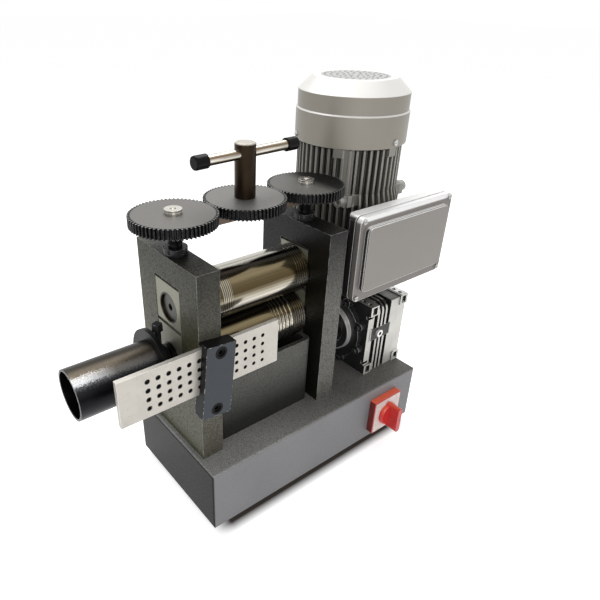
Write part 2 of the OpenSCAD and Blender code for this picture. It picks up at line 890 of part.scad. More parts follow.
module drum_screw() {
  color("black")
    translate([(hub_x0 + hub_x1) / 2, roll_y, lower_z + hub_shaft_r + face_gap])
      union() {
        cylinder(r = hub_screw_r, h = hub_screw_len + cut);
        translate([0, 0, hub_screw_len])
          rotate([0, 0, 20])
            intersection() {
              translate([-hub_screw_head / 2, -hub_screw_head / 2, 0])
                cube([hub_screw_head, hub_screw_head, hub_screw_head_h]);
              cylinder(r1 = hub_screw_head * 0.65, r2 = hub_screw_head * 0.62, h = hub_screw_head_h);
            }
      }
}

// Round nuts on the pillars, notched for a hook spanner
module screw_collars() {
  color("black")
    for (x = [left_axis_x, right_axis_x])
      difference() {
        rod_z(x, roll_y, pillar_top, collar_r, collar_h);
        rod_z(x, roll_y, pillar_top - cut, screw_r + run_fit, collar_h + 2 * cut);
        for (a = [30 : 60 : 330])
          translate([x, roll_y, pillar_top])
            rotate([0, 0, a])
              translate([collar_r * 0.86, -collar_r / 7, collar_h / 4])
                cube([collar_r, collar_r * 2 / 7, collar_h]);
      }
}

// Press screws: threaded spindles with a pilot in the upper block and a bright grooved head
module press_screw(x) {
  difference() {
    union() {
      rod_z(x, roll_y, upper_block_top - pilot_h + face_gap, pilot_r, pilot_h + cut);
      rod_z(x, roll_y, upper_block_top + seat_gap, screw_r, top_gear_z - upper_block_top);
      rod_z(x, roll_y, top_gear_z, screw_head_r, top_gear_t + screw_head_h);
    }
    translate([x, roll_y, top_gear_top + screw_head_h * 0.45])
      difference() {
        cylinder(r = screw_head_r + cut, h = screw_head_h * 0.18);
        translate([0, 0, -cut])
          cylinder(r = screw_head_r * 0.9, h = screw_head_h + cut);
      }
    rod_z(x, roll_y, top_gear_top + screw_head_h * 0.75, screw_head_r * 0.35, screw_head_h);
  }
}

module left_screw() {
  color("silver")
    press_screw(left_axis_x);
}

module right_screw() {
  color("silver")
    press_screw(right_axis_x);
}

// Bridge bar: rides on both spindles and carries the pin of the middle gear
module bridge_bar() {
  color("saddlebrown")
    difference() {
      union() {
        block(left_axis_x, roll_y - bridge_w / 2, bridge_z, screw_span, bridge_w, bridge_t);
        for (x = [left_axis_x, right_axis_x])
          rod_z(x, roll_y, bridge_z, bridge_w / 2, bridge_t);
        rod_z(mid_axis_x, roll_y, bridge_top - cut, screw_r, cut + face_gap + pin_h - face_gap);
      }
      for (x = [left_axis_x, right_axis_x])
        rod_z(x, roll_y, bridge_z - cut, screw_r + run_fit, bridge_t + 2 * cut);
    }
}

// Top gears: one on each spindle and one under the handle
module top_gear(x, phase) {
  translate([x, roll_y, top_gear_z])
    linear_extrude(height = top_gear_t)
      polygon(gear_outline(top_teeth, top_root_r, top_pitch_r, top_tip_r, top_module, top_tooth_shares, phase));
}

module screw_gear(x) {
  difference() {
    top_gear(x, 180 / top_teeth);
    rod_z(x, roll_y, top_gear_z - cut, screw_head_r + seat_gap, top_gear_t + 2 * cut);
  }
}

module left_screw_gear() {
  color("#222222")
    screw_gear(left_axis_x);
}

module right_screw_gear() {
  color("#222222")
    screw_gear(right_axis_x);
}

module centre_gear() {
  color("#222222")
    difference() {
      top_gear(mid_axis_x, 0);
      rod_z(mid_axis_x, roll_y, top_gear_z - cut, screw_r + run_fit, pin_h + cut);
      rod_z(mid_axis_x, roll_y, top_gear_z, spigot_post_r + seat_gap, top_gear_t + cut);
    }
}

// Handle: an upright post with a sliding bar through it
module handle_post() {
  color("sienna")
    difference() {
      union() {
        rod_z(mid_axis_x, roll_y, top_gear_top + seat_gap, post_r, post_h - post_r / 8);
        translate([mid_axis_x, roll_y, top_gear_top + post_h - post_r / 8])
          cylinder(r1 = post_r, r2 = post_r * 7 / 8, h = post_r / 8);
        rod_z(mid_axis_x, roll_y, top_gear_z + pin_h + face_gap, spigot_post_r,
          top_gear_t - pin_h);
      }
      translate([mid_axis_x, roll_y, top_gear_top + bar_rise])
        rotate([0, 0, bar_yaw])
          rod_x(-2 * post_r, 0, 0, bar_r + run_fit, 4 * post_r);
    }
}

module at_bar() {
  translate([mid_axis_x, roll_y, top_gear_top + bar_rise])
    rotate([0, 0, bar_yaw])
      translate([bar_shift, 0, 0])
        children();
}

module sliding_bar() {
  color("silver")
    at_bar()
      rod_x(-bar_len / 2, 0, 0, bar_r, bar_len);
}

module bar_caps() {
  cap_end = cap_len / 11;
  color("black")
    at_bar()
      for (s = [0, 1])
        mirror([s, 0, 0])
          translate([bar_len / 2 + cap_end, 0, 0])
            rotate([0, -90, 0])
              difference() {
                rotate_extrude()
                  polygon([[0, 0], [cap_r * 0.8, 0], [cap_r * 0.95, cap_end * 0.4],
                    [cap_r, cap_end * 1.4], [cap_r, cap_len], [0, cap_len]]);
                translate([0, 0, cap_end])
                  cylinder(r = bar_r + seat_gap, h = cap_len);
              }
}

// Plate holder: a block screwed to the left pillar, slightly askew, with a slot behind it
module at_holder() {
  translate([left_axis_x, holder_y, holder_z])
    rotate([0, holder_lean, 0])
      children();
}

holder_screw_x = left_axis_x - holder_screw_half * sin(holder_lean);
holder_screw_z = holder_z - holder_screw_half * cos(holder_lean);
holder_screw_in = 18;
socket_depth = 3;

module plate_holder() {
  slot_depth = slot_y - holder_y;
  color("#4f565c")
    at_holder()
      difference() {
        block(-holder_w / 2, 0, -holder_h / 2, holder_w, holder_d - seat_gap, holder_h);
        block(-holder_w / 2 - cut, slot_depth, slot_rise - slot_h / 2, holder_w + 2 * cut, holder_d, slot_h);
        rod_y(0, -cut, holder_screw_half, holder_screw_r + run_fit, holder_d + 2 * cut);
        rod_y(0, -cut, -holder_screw_half, holder_screw_r + seat_gap, holder_d / 2 + cut);
        rod_y(0, 0, -holder_screw_half, holder_screw_r * 0.8 + seat_gap, holder_d + cut);
      }
}

module holder_screw() {
  color("#1c1c1c")
    at_holder()
      difference() {
        union() {
          rod_y(0, socket_depth / 2, -holder_screw_half, holder_screw_r, holder_d / 2 - socket_depth / 2);
          rod_y(0, holder_d / 2 - cut, -holder_screw_half, holder_screw_r * 0.8,
            holder_d / 2 + cut + holder_screw_in);
        }
        translate([0, 0, -holder_screw_half])
          rotate([-90, 0, 0])
            cylinder(r = holder_screw_r * 0.6, h = socket_depth * 1.5, $fn = 6);
      }
}

module plate_clamp_screw() {
  color("#1c1c1c")
    at_holder()
      difference() {
        rod_y(0, socket_depth / 2, holder_screw_half, holder_screw_r, plate_y - holder_y - socket_depth / 2
          - seat_gap);
        translate([0, 0, holder_screw_half])
          rotate([-90, 0, 0])
            cylinder(r = holder_screw_r * 0.6, h = socket_depth * 1.5, $fn = 6);
      }
}

// Draw plate: hardened steel with rows of holes that grow narrower, each with a wide mouth
module draw_plate() {
  holes = hole_columns * hole_rows;
  color("lightgray")
    difference() {
      block(plate_x - plate_len / 2, plate_y, plate_z - plate_h / 2, plate_len, plate_t, plate_h);
      for (row = [0 : hole_rows - 1])
        for (col = [0 : hole_columns - 1]) {
          r = hole_r_max - (hole_r_max - hole_r_min) * ((hole_rows - 1 - row) * hole_columns + col) / holes;
          translate([holes_x + col * hole_pitch, plate_y, holes_z + row * row_pitch])
            rotate([-90, 0, 0]) {
              translate([0, 0, -plate_t / 2])
                cylinder(r = r, h = plate_t * 2);
              translate([0, 0, -plate_t / 6])
                cylinder(r1 = r * 1.7, r2 = r * 0.98, h = plate_t / 2);
            }
        }
    }
}

// Gearbox: a ribbed light-alloy housing between two end frames
module gearbox_side(inset, r) {
  y0 = gearbox_y + inset;
  y1 = gearbox_y + gearbox_d - inset;
  z0 = base_top;
  z1 = base_top + gearbox_h - inset;
  translate([y0, z0])
    square([y1 - y0, z1 - z0 - r]);
  translate([y0 + r, z0])
    square([y1 - y0 - r - r / 2, z1 - z0]);
  translate([y0 + r, z1 - r])
    circle(r = r);
  translate([y1 - r / 2, z1 - r / 2])
    circle(r = r / 2);
  translate([y1 - r, z0])
    square([r, z1 - z0 - r / 2]);
}

module gearbox_slab(x, t, inset, r) {
  translate([x, 0, 0])
    rotate([90, 0, 90])
      linear_extrude(height = t)
        gearbox_side(inset, r);
}

ribs = 3;
strip_w = 19;
adapter_r = 44;
adapter_t = 12;
foot_w = 16;
foot_run = 24;
frame_set_back = 3;
frame_corner_r = 3;
pocket_w = 9;
pocket_h = 12;
pocket_depth = 5;
frame_slot = 4.5;
top_hole_r = 3;
top_hole_depth = 12;

// A mounting foot at the front of an end frame, with a pocket in its face
module frame_pocket(x, z) {
  block(x + (foot_w - pocket_w) / 2, gearbox_y - cut, z + (foot_w - pocket_h) / 2, pocket_w,
    pocket_depth + cut, pocket_h);
}

module gearbox_housing() {
  rib_room = gearbox_w - frame_t - foot_w - strip_w;
  frame_room = gearbox_h - 2 * foot_w;
  color("lightgray")
    difference() {
      union() {
        gearbox_slab(gear_x0 + frame_t / 2, gearbox_w - frame_t, rib_depth, gearbox_corner_r);
        difference() {
          union() {
            gearbox_slab(gear_x0, frame_t, 0, frame_corner_r);
            gearbox_slab(gear_x1 - foot_w, foot_w, 0, frame_corner_r);
          }
          block(gear_x0 - cut, gearbox_y - cut, base_top + foot_w, gearbox_w + 2 * cut, frame_set_back + cut,
            frame_room);
        }
        for (x = [gear_x0, gear_x1 - foot_w])
          for (z = [base_top, gear_top - foot_w])
            block(x, gearbox_y, z, foot_w, foot_run, foot_w);
        for (i = [1 : ribs])
          gearbox_slab(gear_x0 + frame_t + rib_room * i / (ribs + 1) - rib_t / 2, rib_t, rib_t / 2,
            gearbox_corner_r);
        gearbox_slab(gear_x1 - foot_w - strip_w, strip_w + cut, rib_t / 2, frame_corner_r);
        block(gear_x0 + frame_t / 2, plug_y, plug_z - plug_r * 1.7, frame_t / 2 + rib_room + cut, rib_depth,
          plug_r * 3.4);
        rod_z(motor_x, motor_y, gear_top - adapter_t, adapter_r, adapter_t);
        rod_y(plug_x, gearbox_y + rib_t / 2, plug_z, plug_r * 1.5, rib_depth);
      }
      // Cast pockets in the feet
      for (x = [gear_x0, gear_x1 - foot_w])
        for (z = [base_top, gear_top - foot_w])
          frame_pocket(x, z);
      // Slots beside the feet, open to the left
      for (z = [base_top + foot_w + frame_slot * 0.8, gear_top - foot_w - frame_slot * 0.8]) {
        block(gear_x0 - cut, gearbox_y - cut, z - frame_slot / 2, frame_t * 0.6 + cut, foot_w / 2 + cut,
          frame_slot);
        rod_y(gear_x0 + frame_t * 0.6, gearbox_y - cut, z, frame_slot / 2, foot_w / 2 + cut);
      }
      // Tapped holes in the top of the end frames
      for (x = [gear_x0 + frame_t / 2, gear_x1 - foot_w / 2])
        for (y = [foot_run * 0.4, foot_run * 0.9])
          rod_z(x, gearbox_y + y, gear_top - top_hole_depth, top_hole_r, top_hole_depth + cut);
      // Chamber of the worm wheel, open to the left for the cover
      rod_x(gear_x0 - cut, roll_y, out_z, wheel_room_r, gearbox_w / 2 + wheel_w / 2 + 2 * worm_module + cut);
      // Seat of the right bearing of the output shaft
      rod_x(gear_x, roll_y, out_z, drive_shaft_r + bearing_wall + seat_gap, gearbox_w / 2 - frame_t / 2);
      // Chamber of the worm, with the seats of its two bearings
      rod_z(motor_x, motor_y, worm_bearing_z0, worm_bearing_r + seat_gap,
        gear_top - worm_bearing_z0 + cut);
      // Bolt holes
      for (p = cover_spots)
        rod_x(gear_x0 - cut, p[0], p[1], cover_bolt_r + seat_gap, cover_bolt_in + cut);
      for (s = [-1, 1])
        for (y = [gearbox_y + frame_t, gearbox_y + gearbox_d - frame_t])
          rod_z(gear_x + s * (gearbox_w / 2 - frame_t), y, base_top - cut, bolt_r + seat_gap,
            bolt_reach + 2 * cut);
      rod_y(plug_x, gearbox_y - cut, plug_z, plug_r * 0.8 + seat_gap, plug_len + rib_t / 4 + cut);
    }
}

cover_bolts_n = 8;
cover_bolt_r = 2.5;
cover_bolt_head_r = 4.3;
cover_bolt_head_h = 5;
cover_bolt_in = 9;
cover_lobe_r = 7;
cover_spots = [
  for (i = [0 : cover_bolts_n - 1])
    let (a = 360 / cover_bolts_n * (i + 0.5))
      [roll_y + cover_bolt_circle * cos(a), out_z + cover_bolt_circle * sin(a)]
];

// Output cover: a lobed disc with a turned spigot, carries the left bearing
module output_cover() {
  color("silver")
    difference() {
      union() {
        rod_x(cover_x0, roll_y, out_z, cover_bolt_circle - cover_lobe_r / 3, cover_t - seat_gap);
        for (p = cover_spots)
          rod_x(cover_x0, p[0], p[1], cover_lobe_r, cover_t - seat_gap);
        rod_x(cover_x0 - spigot_len, roll_y, out_z, spigot_r, spigot_len + cut);
        rod_x(gear_x0 - cut, roll_y, out_z, wheel_room_r - seat_gap, frame_t + cut);
      }
      rod_x(cover_x0 - spigot_len - cut, roll_y, out_z, drive_shaft_r + bearing_wall, spigot_len + cut);
      rod_x(cover_x0 - cut, roll_y, out_z, drive_shaft_r + 2 * face_gap, cover_t + frame_t + cut);
      rod_x(gear_x0, roll_y, out_z, drive_shaft_r + bearing_wall + seat_gap, frame_t + cut);
      for (p = cover_spots)
        rod_x(cover_x0 - cut, p[0], p[1], cover_bolt_r + seat_gap, cover_t + 2 * cut);
    }
}

module cover_bolts() {
  color("#3a3a3a")
    for (p = cover_spots)
      difference() {
        union() {
          rod_x(cover_x0 - cover_bolt_head_h, p[0], p[1], cover_bolt_head_r, cover_bolt_head_h);
          rod_x(cover_x0 - cut, p[0], p[1], cover_bolt_r, cover_t + cover_bolt_in - cut);
        }
        translate([cover_x0 - cover_bolt_head_h - cut, p[0], p[1]])
          rotate([0, 90, 0])
            cylinder(r = cover_bolt_head_r * 0.55, h = cover_bolt_head_h / 2 + cut, $fn = 6);
      }
}

plug_r = 6;
plug_len = 8;
plug_head_t = 4;
plug_x = gear_x0 + frame_t + plug_r * 2;
plug_z = out_z + plug_r;
plug_y = gearbox_y + rib_t / 2;

module oil_plug() {
  color("silver")
    difference() {
      union() {
        rod_y(plug_x, plug_y - plug_head_t, plug_z, plug_r, plug_head_t - seat_gap);
        rod_y(plug_x, plug_y - cut, plug_z, plug_r * 0.8, plug_len - cut);
      }
      translate([plug_x, plug_y - plug_head_t - cut, plug_z])
        rotate([-90, 0, 0])
          cylinder(r = plug_r / 2, h = plug_head_t + cut, $fn = 6);
    }
}

// Bearings: two on the output shaft, two on the worm, two on the rotor
worm_bearing_r = max(motor_shaft_r + bearing_wall, worm_room_r);
worm_bearing_z0 = out_z - worm_len / 2 - bearing_w;

module bearing_x(x) {
  difference() {
    rod_x(x, roll_y, out_z, drive_shaft_r + bearing_wall, bearing_w);
    rod_x(x - cut, roll_y, out_z, drive_shaft_r + run_fit, bearing_w + 2 * cut);
  }
}

module bearing_z(z, r) {
  difference() {
    rod_z(motor_x, motor_y, z, r, bearing_w);
    rod_z(motor_x, motor_y, z - cut, motor_shaft_r + run_fit, bearing_w + 2 * cut);
  }
}

module bearings() {
  color("silver") {
    bearing_x(gear_x0 + seat_gap);
    bearing_x(gear_x1 - frame_t / 2 - bearing_w - seat_gap);
    bearing_z(worm_bearing_z0 + seat_gap, worm_bearing_r);
    bearing_z(out_z + worm_len / 2, worm_bearing_r);
    bearing_z(frame_z - bearing_w - seat_gap, motor_shaft_r + bearing_wall);
    bearing_z(motor_top - shield_t + seat_gap, motor_shaft_r + bearing_wall);
  }
}

// Worm wheel: bronze rim with straight-cut teeth that clear the worm's thread
worm_tooth_shares = [1.3, 1.05, 0.6];

module worm_wheel() {
  color("goldenrod")
    translate([gear_x - wheel_w / 2, roll_y, out_z])
      rotate([90, 0, 90])
        difference() {
          linear_extrude(height = wheel_w)
            polygon(gear_outline(wheel_teeth, wheel_root_r, wheel_pitch_r, wheel_tip_r, worm_module,
              worm_tooth_shares, 180 / wheel_teeth));
          translate([0, 0, -cut])
            cylinder(r = drive_shaft_r + seat_gap, h = wheel_w + 2 * cut);
        }
}

module output_shaft() {
  color("gray")
    rod_x(drive_x - face_gap, roll_y, out_z, drive_shaft_r, gear_x1 - frame_t / 2 - drive_x + face_gap - seat_gap);
}

// Worm: one right-hand thread round a shaft
module worm() {
  rings = worm_turns * worm_steps + 1;
  z0 = out_z - worm_pitch * (worm_turns / 2 + 0.25);
  section = [[worm_root_r * 0.94, -0.62], [worm_tip_r, -0.3], [worm_tip_r, 0.3], [worm_root_r * 0.94, 0.62]];
  points = [
    for (i = [0 : rings - 1])
      for (s = section)
        let (a = 360 / worm_steps * i)
          [s[0] * cos(a), s[0] * sin(a), worm_pitch * i / worm_steps + s[1] * worm_module]
  ];
  color("silver")
    translate([motor_x, motor_y, 0])
      difference() {
        union() {
          translate([0, 0, z0])
            polyhedron(points = points, faces = tube_faces(rings, len(section)), convexity = 12);
          translate([0, 0, out_z - worm_len / 2 + face_gap])
            cylinder(r = worm_root_r, h = worm_len - 2 * face_gap);
        }
        translate([0, 0, worm_bearing_z0])
          cylinder(r = motor_shaft_r + seat_gap, h = worm_len + 2 * bearing_w);
      }
}

// Motor frame: a cast barrel with fins, deeper below the lugs, and a pad for the control box
module lug_corner(s) {
  eye_r = lug_h / 2;
  difference() {
    union() {
      translate([0, 0, lug_z])
        linear_extrude(height = lug_h)
          polygon([[lug_half * 0.5, lug_half * 0.5], [lug_half, lug_half * 0.6], [lug_half, lug_half * 0.94],
            [lug_half * 0.92, lug_half * 0.92], [lug_half * 0.94, lug_half], [lug_half * 0.6, lug_half]]);
      translate([lug_half - eye_r, lug_half * 0.83, lug_z + eye_r])
        rotate([0, 90, 0])
          cylinder(r = eye_r, h = eye_r * 1.8);
    }
    translate([lug_half, lug_half * 0.83, lug_z + eye_r])
      rotate([0, 90, 0])
        cylinder(r = eye_r * 0.5, h = eye_r * 2);
  }
}

module motor_frame() {
  frame_h = motor_top - frame_z;
  flare = lug_h;
  color("#6f6e69")
    difference() {
      translate([motor_x, motor_y, 0])
        union() {
          intersection() {
            translate([0, 0, frame_z])
              linear_extrude(height = frame_h)
                polygon(fin_outline(fins, barrel_r, low_fin_r + cut, fin_t * 1.4, fin_t));
            rotate_extrude()
              polygon([[0, frame_z], [low_fin_r - fin_t, frame_z], [low_fin_r, frame_z + fin_t],
                [low_fin_r, lug_z], [fin_r, lug_z + flare], [fin_r, motor_top - fin_t],
                [fin_r - fin_t, motor_top - seat_gap], [0, motor_top - seat_gap]]);
          }
          for (a = [0, 90, 180, 270])
            rotate([0, 0, a + 45 - 2])
              translate([barrel_r - fin_t, -lug_h / 2, lug_z + lug_h])
                cube([fin_r - barrel_r + fin_t / 2, lug_h, motor_top - seat_gap - lug_z - lug_h]);
          for (m = [[0, 0], [1, 0], [0, 1], [1, 1]])
            mirror([m[0], 0, 0])
              mirror([0, m[1], 0])
                lug_corner(1);
          for (a = [33 : 60 : 333])
            rotate([0, 0, a])
              translate([barrel_r - fin_t, -cowl_block_w / 2, motor_top - cowl_block_h])
                cube([cowl_r - cowl_t - cowl_block_gap - barrel_r + fin_t, cowl_block_w,
                  2 * cowl_block_h]);
          translate([-pad_w / 2, -fin_r - pad_d + seat_gap, box_z - pad_w / 2])
            cube([pad_w, fin_r + pad_d - barrel_r + fin_t, pad_w]);
        }
      rod_z(motor_x, motor_y, frame_z - cut, bore_r, frame_h + 2 * cut);
      translate([motor_x, motor_y, motor_top])
        for (a = cowl_screw_angles)
          rotate([0, 0, a])
            rod_x(barrel_r, 0, cowl_screw_rise, cowl_screw_r + seat_gap, cowl_r - barrel_r);
    }
}

cowl_block_w = 13;
cowl_block_h = 12;
cowl_block_gap = 0.25;
cowl_screw_angles = [33, 153, 273];
pad_w = 64;
shield_lip = 5;
shield_spigot = 6;

module lower_shield() {
  color("#8c8b86")
    difference() {
      union() {
        rod_z(motor_x, motor_y, motor_z + seat_gap, barrel_r + shield_lip, shield_t - 2 * seat_gap);
        rod_z(motor_x, motor_y, frame_z - cut, bore_r - seat_gap, cut + shield_spigot);
      }
      rod_z(motor_x, motor_y, frame_z - bearing_w - seat_gap, motor_shaft_r + bearing_wall + seat_gap,
        bearing_w + shield_spigot + cut);
      rod_z(motor_x, motor_y, motor_z - cut, motor_shaft_r + 2 * face_gap, shield_t + cut);
    }
}

module upper_shield() {
  color("#8c8b86")
    difference() {
      union() {
        rod_z(motor_x, motor_y, motor_top - shield_t, bore_r - seat_gap, shield_t);
        rod_z(motor_x, motor_y, motor_top, bore_r + shield_lip / 3, shield_lip / 3);
      }
      rod_z(motor_x, motor_y, motor_top - shield_t - cut, motor_shaft_r + bearing_wall + seat_gap,
        bearing_w + cut + 2 * seat_gap);
      rod_z(motor_x, motor_y, motor_top - shield_t, motor_shaft_r + 2 * face_gap, shield_t + shield_lip);
    }
}

stator_r_in = 36;
stator_len = 110;
winding_len = 18;
rotor_gap = 0.6;
stator_z = (frame_z + motor_top - shield_t + shield_spigot - stator_len) / 2;

module stator() {
  color("peru")
    difference() {
      union() {
        rod_z(motor_x, motor_y, stator_z, bore_r - seat_gap, stator_len);
        rod_z(motor_x, motor_y, stator_z - winding_len, bore_r - shield_spigot, stator_len + 2 * winding_len);
      }
      rod_z(motor_x, motor_y, stator_z - winding_len - cut, stator_r_in, stator_len + 2 * winding_len + 2 * cut);
    }
}

module rotor() {
  color("gray") {
    rod_z(motor_x, motor_y, stator_z, stator_r_in - rotor_gap, stator_len);
    rod_z(motor_x, motor_y, worm_bearing_z0 + seat_gap, motor_shaft_r,
      motor_top + fan_rise + fan_h - worm_bearing_z0);
  }
}

// Fan on the rotor's upper end, inside the cowl
fan_rise = 8;
fan_h = 24;
fan_blades = 9;
fan_hub_r = 18;
fan_r = 60;

module fan() {
  z = motor_top + fan_rise;
  color("black")
    difference() {
      union() {
        rod_z(motor_x, motor_y, z, fan_hub_r, fan_h);
        rod_z(motor_x, motor_y, z, fan_r * 0.7, blade_t);
        for (i = [0 : fan_blades - 1])
          translate([motor_x, motor_y, z])
            rotate([0, 0, 360 / fan_blades * i])
              translate([fan_hub_r - cut, -blade_t / 2, 0])
                cube([fan_r - fan_hub_r, blade_t, fan_h]);
      }
      rod_z(motor_x, motor_y, z - cut, motor_shaft_r + seat_gap, fan_h + 2 * cut);
    }
}

blade_t = 2;

// Fan cowl: a pressed steel cap with a ridge and a round field of air holes
module cowl_profile(inset) {
  r = cowl_r - inset;
  step = cowl_t;
  top = cowl_h - inset;
  square([r, ridge_rise]);
  translate([0, ridge_rise])
    polygon([[0, -cut], [r, -cut], [r, 0], [r - step, step], [r - step, shoulder_rise - ridge_rise],
      [cowl_r * 0.74 - inset * 0.6, top - ridge_rise], [0, top - ridge_rise]]);
}

grille_rings = 5;

module fan_cowl() {
  color("#b9b4ac")
    translate([motor_x, motor_y, motor_top])
      difference() {
        rotate_extrude()
          cowl_profile(0);
        translate([0, 0, -cut])
          rotate_extrude()
            square([cowl_r - cowl_t, 2 * cut]);
        rotate_extrude()
          cowl_profile(cowl_t);
        for (ring = [1 : grille_rings])
          for (i = [0 : 6 * ring - 1])
            rotate([0, 0, 360 / (6 * ring) * i + 10 * ring])
              translate([grille_r * ring / grille_rings, 0, cowl_h - 3 * cowl_t])
                cylinder(r = grille_hole_r, h = 6 * cowl_t);
        for (a = cowl_screw_angles)
          rotate([0, 0, a])
            rod_x(cowl_r - 3 * cowl_t, 0, cowl_screw_rise, cowl_screw_r + seat_gap, 6 * cowl_t);
      }
}

cowl_screw_rise = 6.4;
cowl_screw_r = 2.4;
cowl_screw_head_r = 4;
cowl_screw_head_h = 2.2;

module cowl_screws() {
  color("gainsboro")
    translate([motor_x, motor_y, motor_top])
      for (a = cowl_screw_angles)
        rotate([0, 0, a])
          difference() {
            union() {
              rod_x(cowl_r - 3 * cowl_t, 0, cowl_screw_rise, cowl_screw_r, 3 * cowl_t + cut / 2);
              rod_x(cowl_r, 0, cowl_screw_rise, cowl_screw_head_r, cowl_screw_head_h);
            }
            block(cowl_r + cowl_screw_head_h / 2, -cowl_screw_head_r, cowl_screw_rise - cowl_screw_r / 5,
              cowl_screw_head_h, 2 * cowl_screw_head_r, cowl_screw_r * 2 / 5);
          }
}

// Control box: a die-cast body, a gasket and a screwed lid with a raised panel
module box_slab(y, t, w, h, r) {
  translate([motor_x, y + t, box_z])
    rotate([90, 0, 0])
      linear_extrude(height = t)
        round_rect(w, h, r);
}

module box_body() {
  color("#9b9590")
    difference() {
      intersection() {
        box_slab(box_front, box_d, box_w, box_h, box_corner_r);
        translate([motor_x, box_back - box_d, box_z - box_h])
          linear_extrude(height = 2 * box_h)
            round_rect(box_w, 2 * box_d, box_corner_r);
      }
      box_slab(box_front - cut, box_d - box_wall + cut, box_w - 4 * box_wall, box_h - 4 * box_wall,
        box_corner_r / 2);
      rod_y(motor_x, box_back - 2 * box_wall, box_z, cable_hole_r, 3 * box_wall);
      for (sx = [-1, 1])
        for (sz = [-1, 1])
          rod_y(motor_x + sx * lid_screw_x, box_front - cut, box_z + sz * lid_screw_z,
            lid_screw_r + seat_gap, lid_screw_in + cut);
    }
}

cable_hole_r = 14;
lid_screw_r = 2;
lid_screw_head_r = 3.6;
lid_screw_head_h = 2;
lid_screw_in = 12;
lid_screw_x = box_w / 2 - lid_screw_head_r * 1.8;
lid_screw_z = box_h / 2 - lid_screw_head_r * 1.5;

module box_gasket() {
  color("#333333")
    difference() {
      box_slab(lid_back, gasket_t, box_w - gasket_t, box_h - gasket_t, box_corner_r - gasket_t / 2);
      box_slab(lid_back - cut, gasket_t + 2 * cut, box_w - 4 * box_wall, box_h - 4 * box_wall, box_corner_r / 2);
      for (sx = [-1, 1])
        for (sz = [-1, 1])
          rod_y(motor_x + sx * lid_screw_x, lid_back - cut, box_z + sz * lid_screw_z,
            lid_screw_r + seat_gap, gasket_t + 2 * cut);
    }
}

module box_lid() {
  color("#a8a29c")
    difference() {
      union() {
        box_slab(lid_front, lid_rim, box_w, box_h, box_corner_r);
        translate([motor_x, lid_front, box_z])
          rotate([90, 0, 0])
            linear_extrude(height = lid_raise * 0.75)
              round_rect(box_w - 2 * lid_margin_x, box_h - 2 * lid_margin_z, box_corner_r);
        translate([motor_x, lid_front, box_z])
          rotate([90, 0, 0])
            linear_extrude(height = lid_raise)
              round_rect(box_w - 2 * lid_margin_x - lid_raise / 2,
                box_h - 2 * lid_margin_z - lid_raise / 2, box_corner_r - lid_raise / 4);
      }
      box_slab(lid_front + lid_rim / 2, lid_rim, box_w - 4 * box_wall, box_h - 4 * box_wall, box_corner_r / 2);
      for (sx = [-1, 1])
        for (sz = [-1, 1])
          rod_y(motor_x + sx * lid_screw_x, lid_front - cut, box_z + sz * lid_screw_z,
            lid_screw_r + seat_gap, lid_rim + 2 * cut);
    }
}

module lid_screws() {
  color("gray")
    for (sx = [-1, 1])
      for (sz = [-1, 1])
        difference() {
          union() {
            rod_y(motor_x + sx * lid_screw_x, lid_front - lid_screw_head_h, box_z + sz * lid_screw_z,
              lid_screw_head_r, lid_screw_head_h);
            rod_y(motor_x + sx * lid_screw_x, lid_front - cut, box_z + sz * lid_screw_z,
              lid_screw_r, lid_rim + gasket_t + lid_screw_in);
          }
          block(motor_x + sx * lid_screw_x - lid_screw_head_r, lid_front - lid_screw_head_h * 1.5,
            box_z + sz * lid_screw_z - lid_screw_r / 5, 2 * lid_screw_head_r, lid_screw_head_h,
            lid_screw_r * 2 / 5);
        }
}

// Two capacitors lie on the box's back wall
capacitor_r = (box_d - box_wall) / 2;
capacitor_len = 84;

module capacitors() {
  color("whitesmoke")
    for (sz = [-1, 1])
      rod_x(motor_x - capacitor_len / 2, box_back - box_wall - capacitor_r - seat_gap,
        box_z + sz * (capacitor_r + cable_hole_r), capacitor_r, capacitor_len);
}

// Switch: a contact body behind the panel, a red frame and a pale face in front, and a red knob
switch_neck_r = 11;
switch_depth = 46;
switch_corner_r = 3;

module switch_body() {
  side = switch_side * 0.78;
  color("black")
    difference() {
      union() {
        translate([switch_x - side / 2, sheet_t + seat_gap, switch_z - side / 2])
          cube([side, switch_depth, side]);
        rod_y(switch_x, -switch_t, switch_z, switch_neck_r, switch_t + sheet_t + cut);
      }
      rod_y(switch_x, -switch_t - cut, switch_z, knob_stem_r + run_fit, switch_t + switch_depth * 0.6);
    }
}

module switch_frame() {
  color("red")
    difference() {
      translate([switch_x, -seat_gap, switch_z])
        rotate([90, 0, 0])
          linear_extrude(height = switch_t - seat_gap)
            round_rect(switch_side, switch_side, switch_corner_r);
      rod_y(switch_x, -switch_t - cut, switch_z, switch_neck_r + seat_gap, switch_t + 2 * cut);
    }
}

module switch_face() {
  color("mistyrose")
    difference() {
      translate([switch_x, -switch_t - seat_gap, switch_z])
        rotate([90, 0, 0])
          linear_extrude(height = switch_face_t - seat_gap)
            round_rect(switch_side * 0.93, switch_side * 0.93, switch_corner_r);
      rod_y(switch_x, -switch_t - switch_face_t - cut, switch_z, knob_r * 0.7, switch_face_t + 2 * cut);
    }
}

module switch_knob() {
  color("red")
    union() {
      translate([switch_x, knob_y, switch_z])
        rotate([90, 0, 0])
          rotate_extrude()
            polygon([[0, 0], [knob_r, 0], [knob_r, knob_foot_t * 0.7], [knob_r * 0.93, knob_foot_t],
              [0, knob_foot_t]]);
      translate([switch_x, knob_y - cut, switch_z])
        rotate([90, 0, 0])
          linear_extrude(height = knob_foot_t + grip_h - cut)
            round_rect(grip_t, grip_len, grip_t * 0.45);
      rod_y(switch_x, knob_y - cut, switch_z, knob_stem_r, switch_t + switch_depth / 2);
    }
}

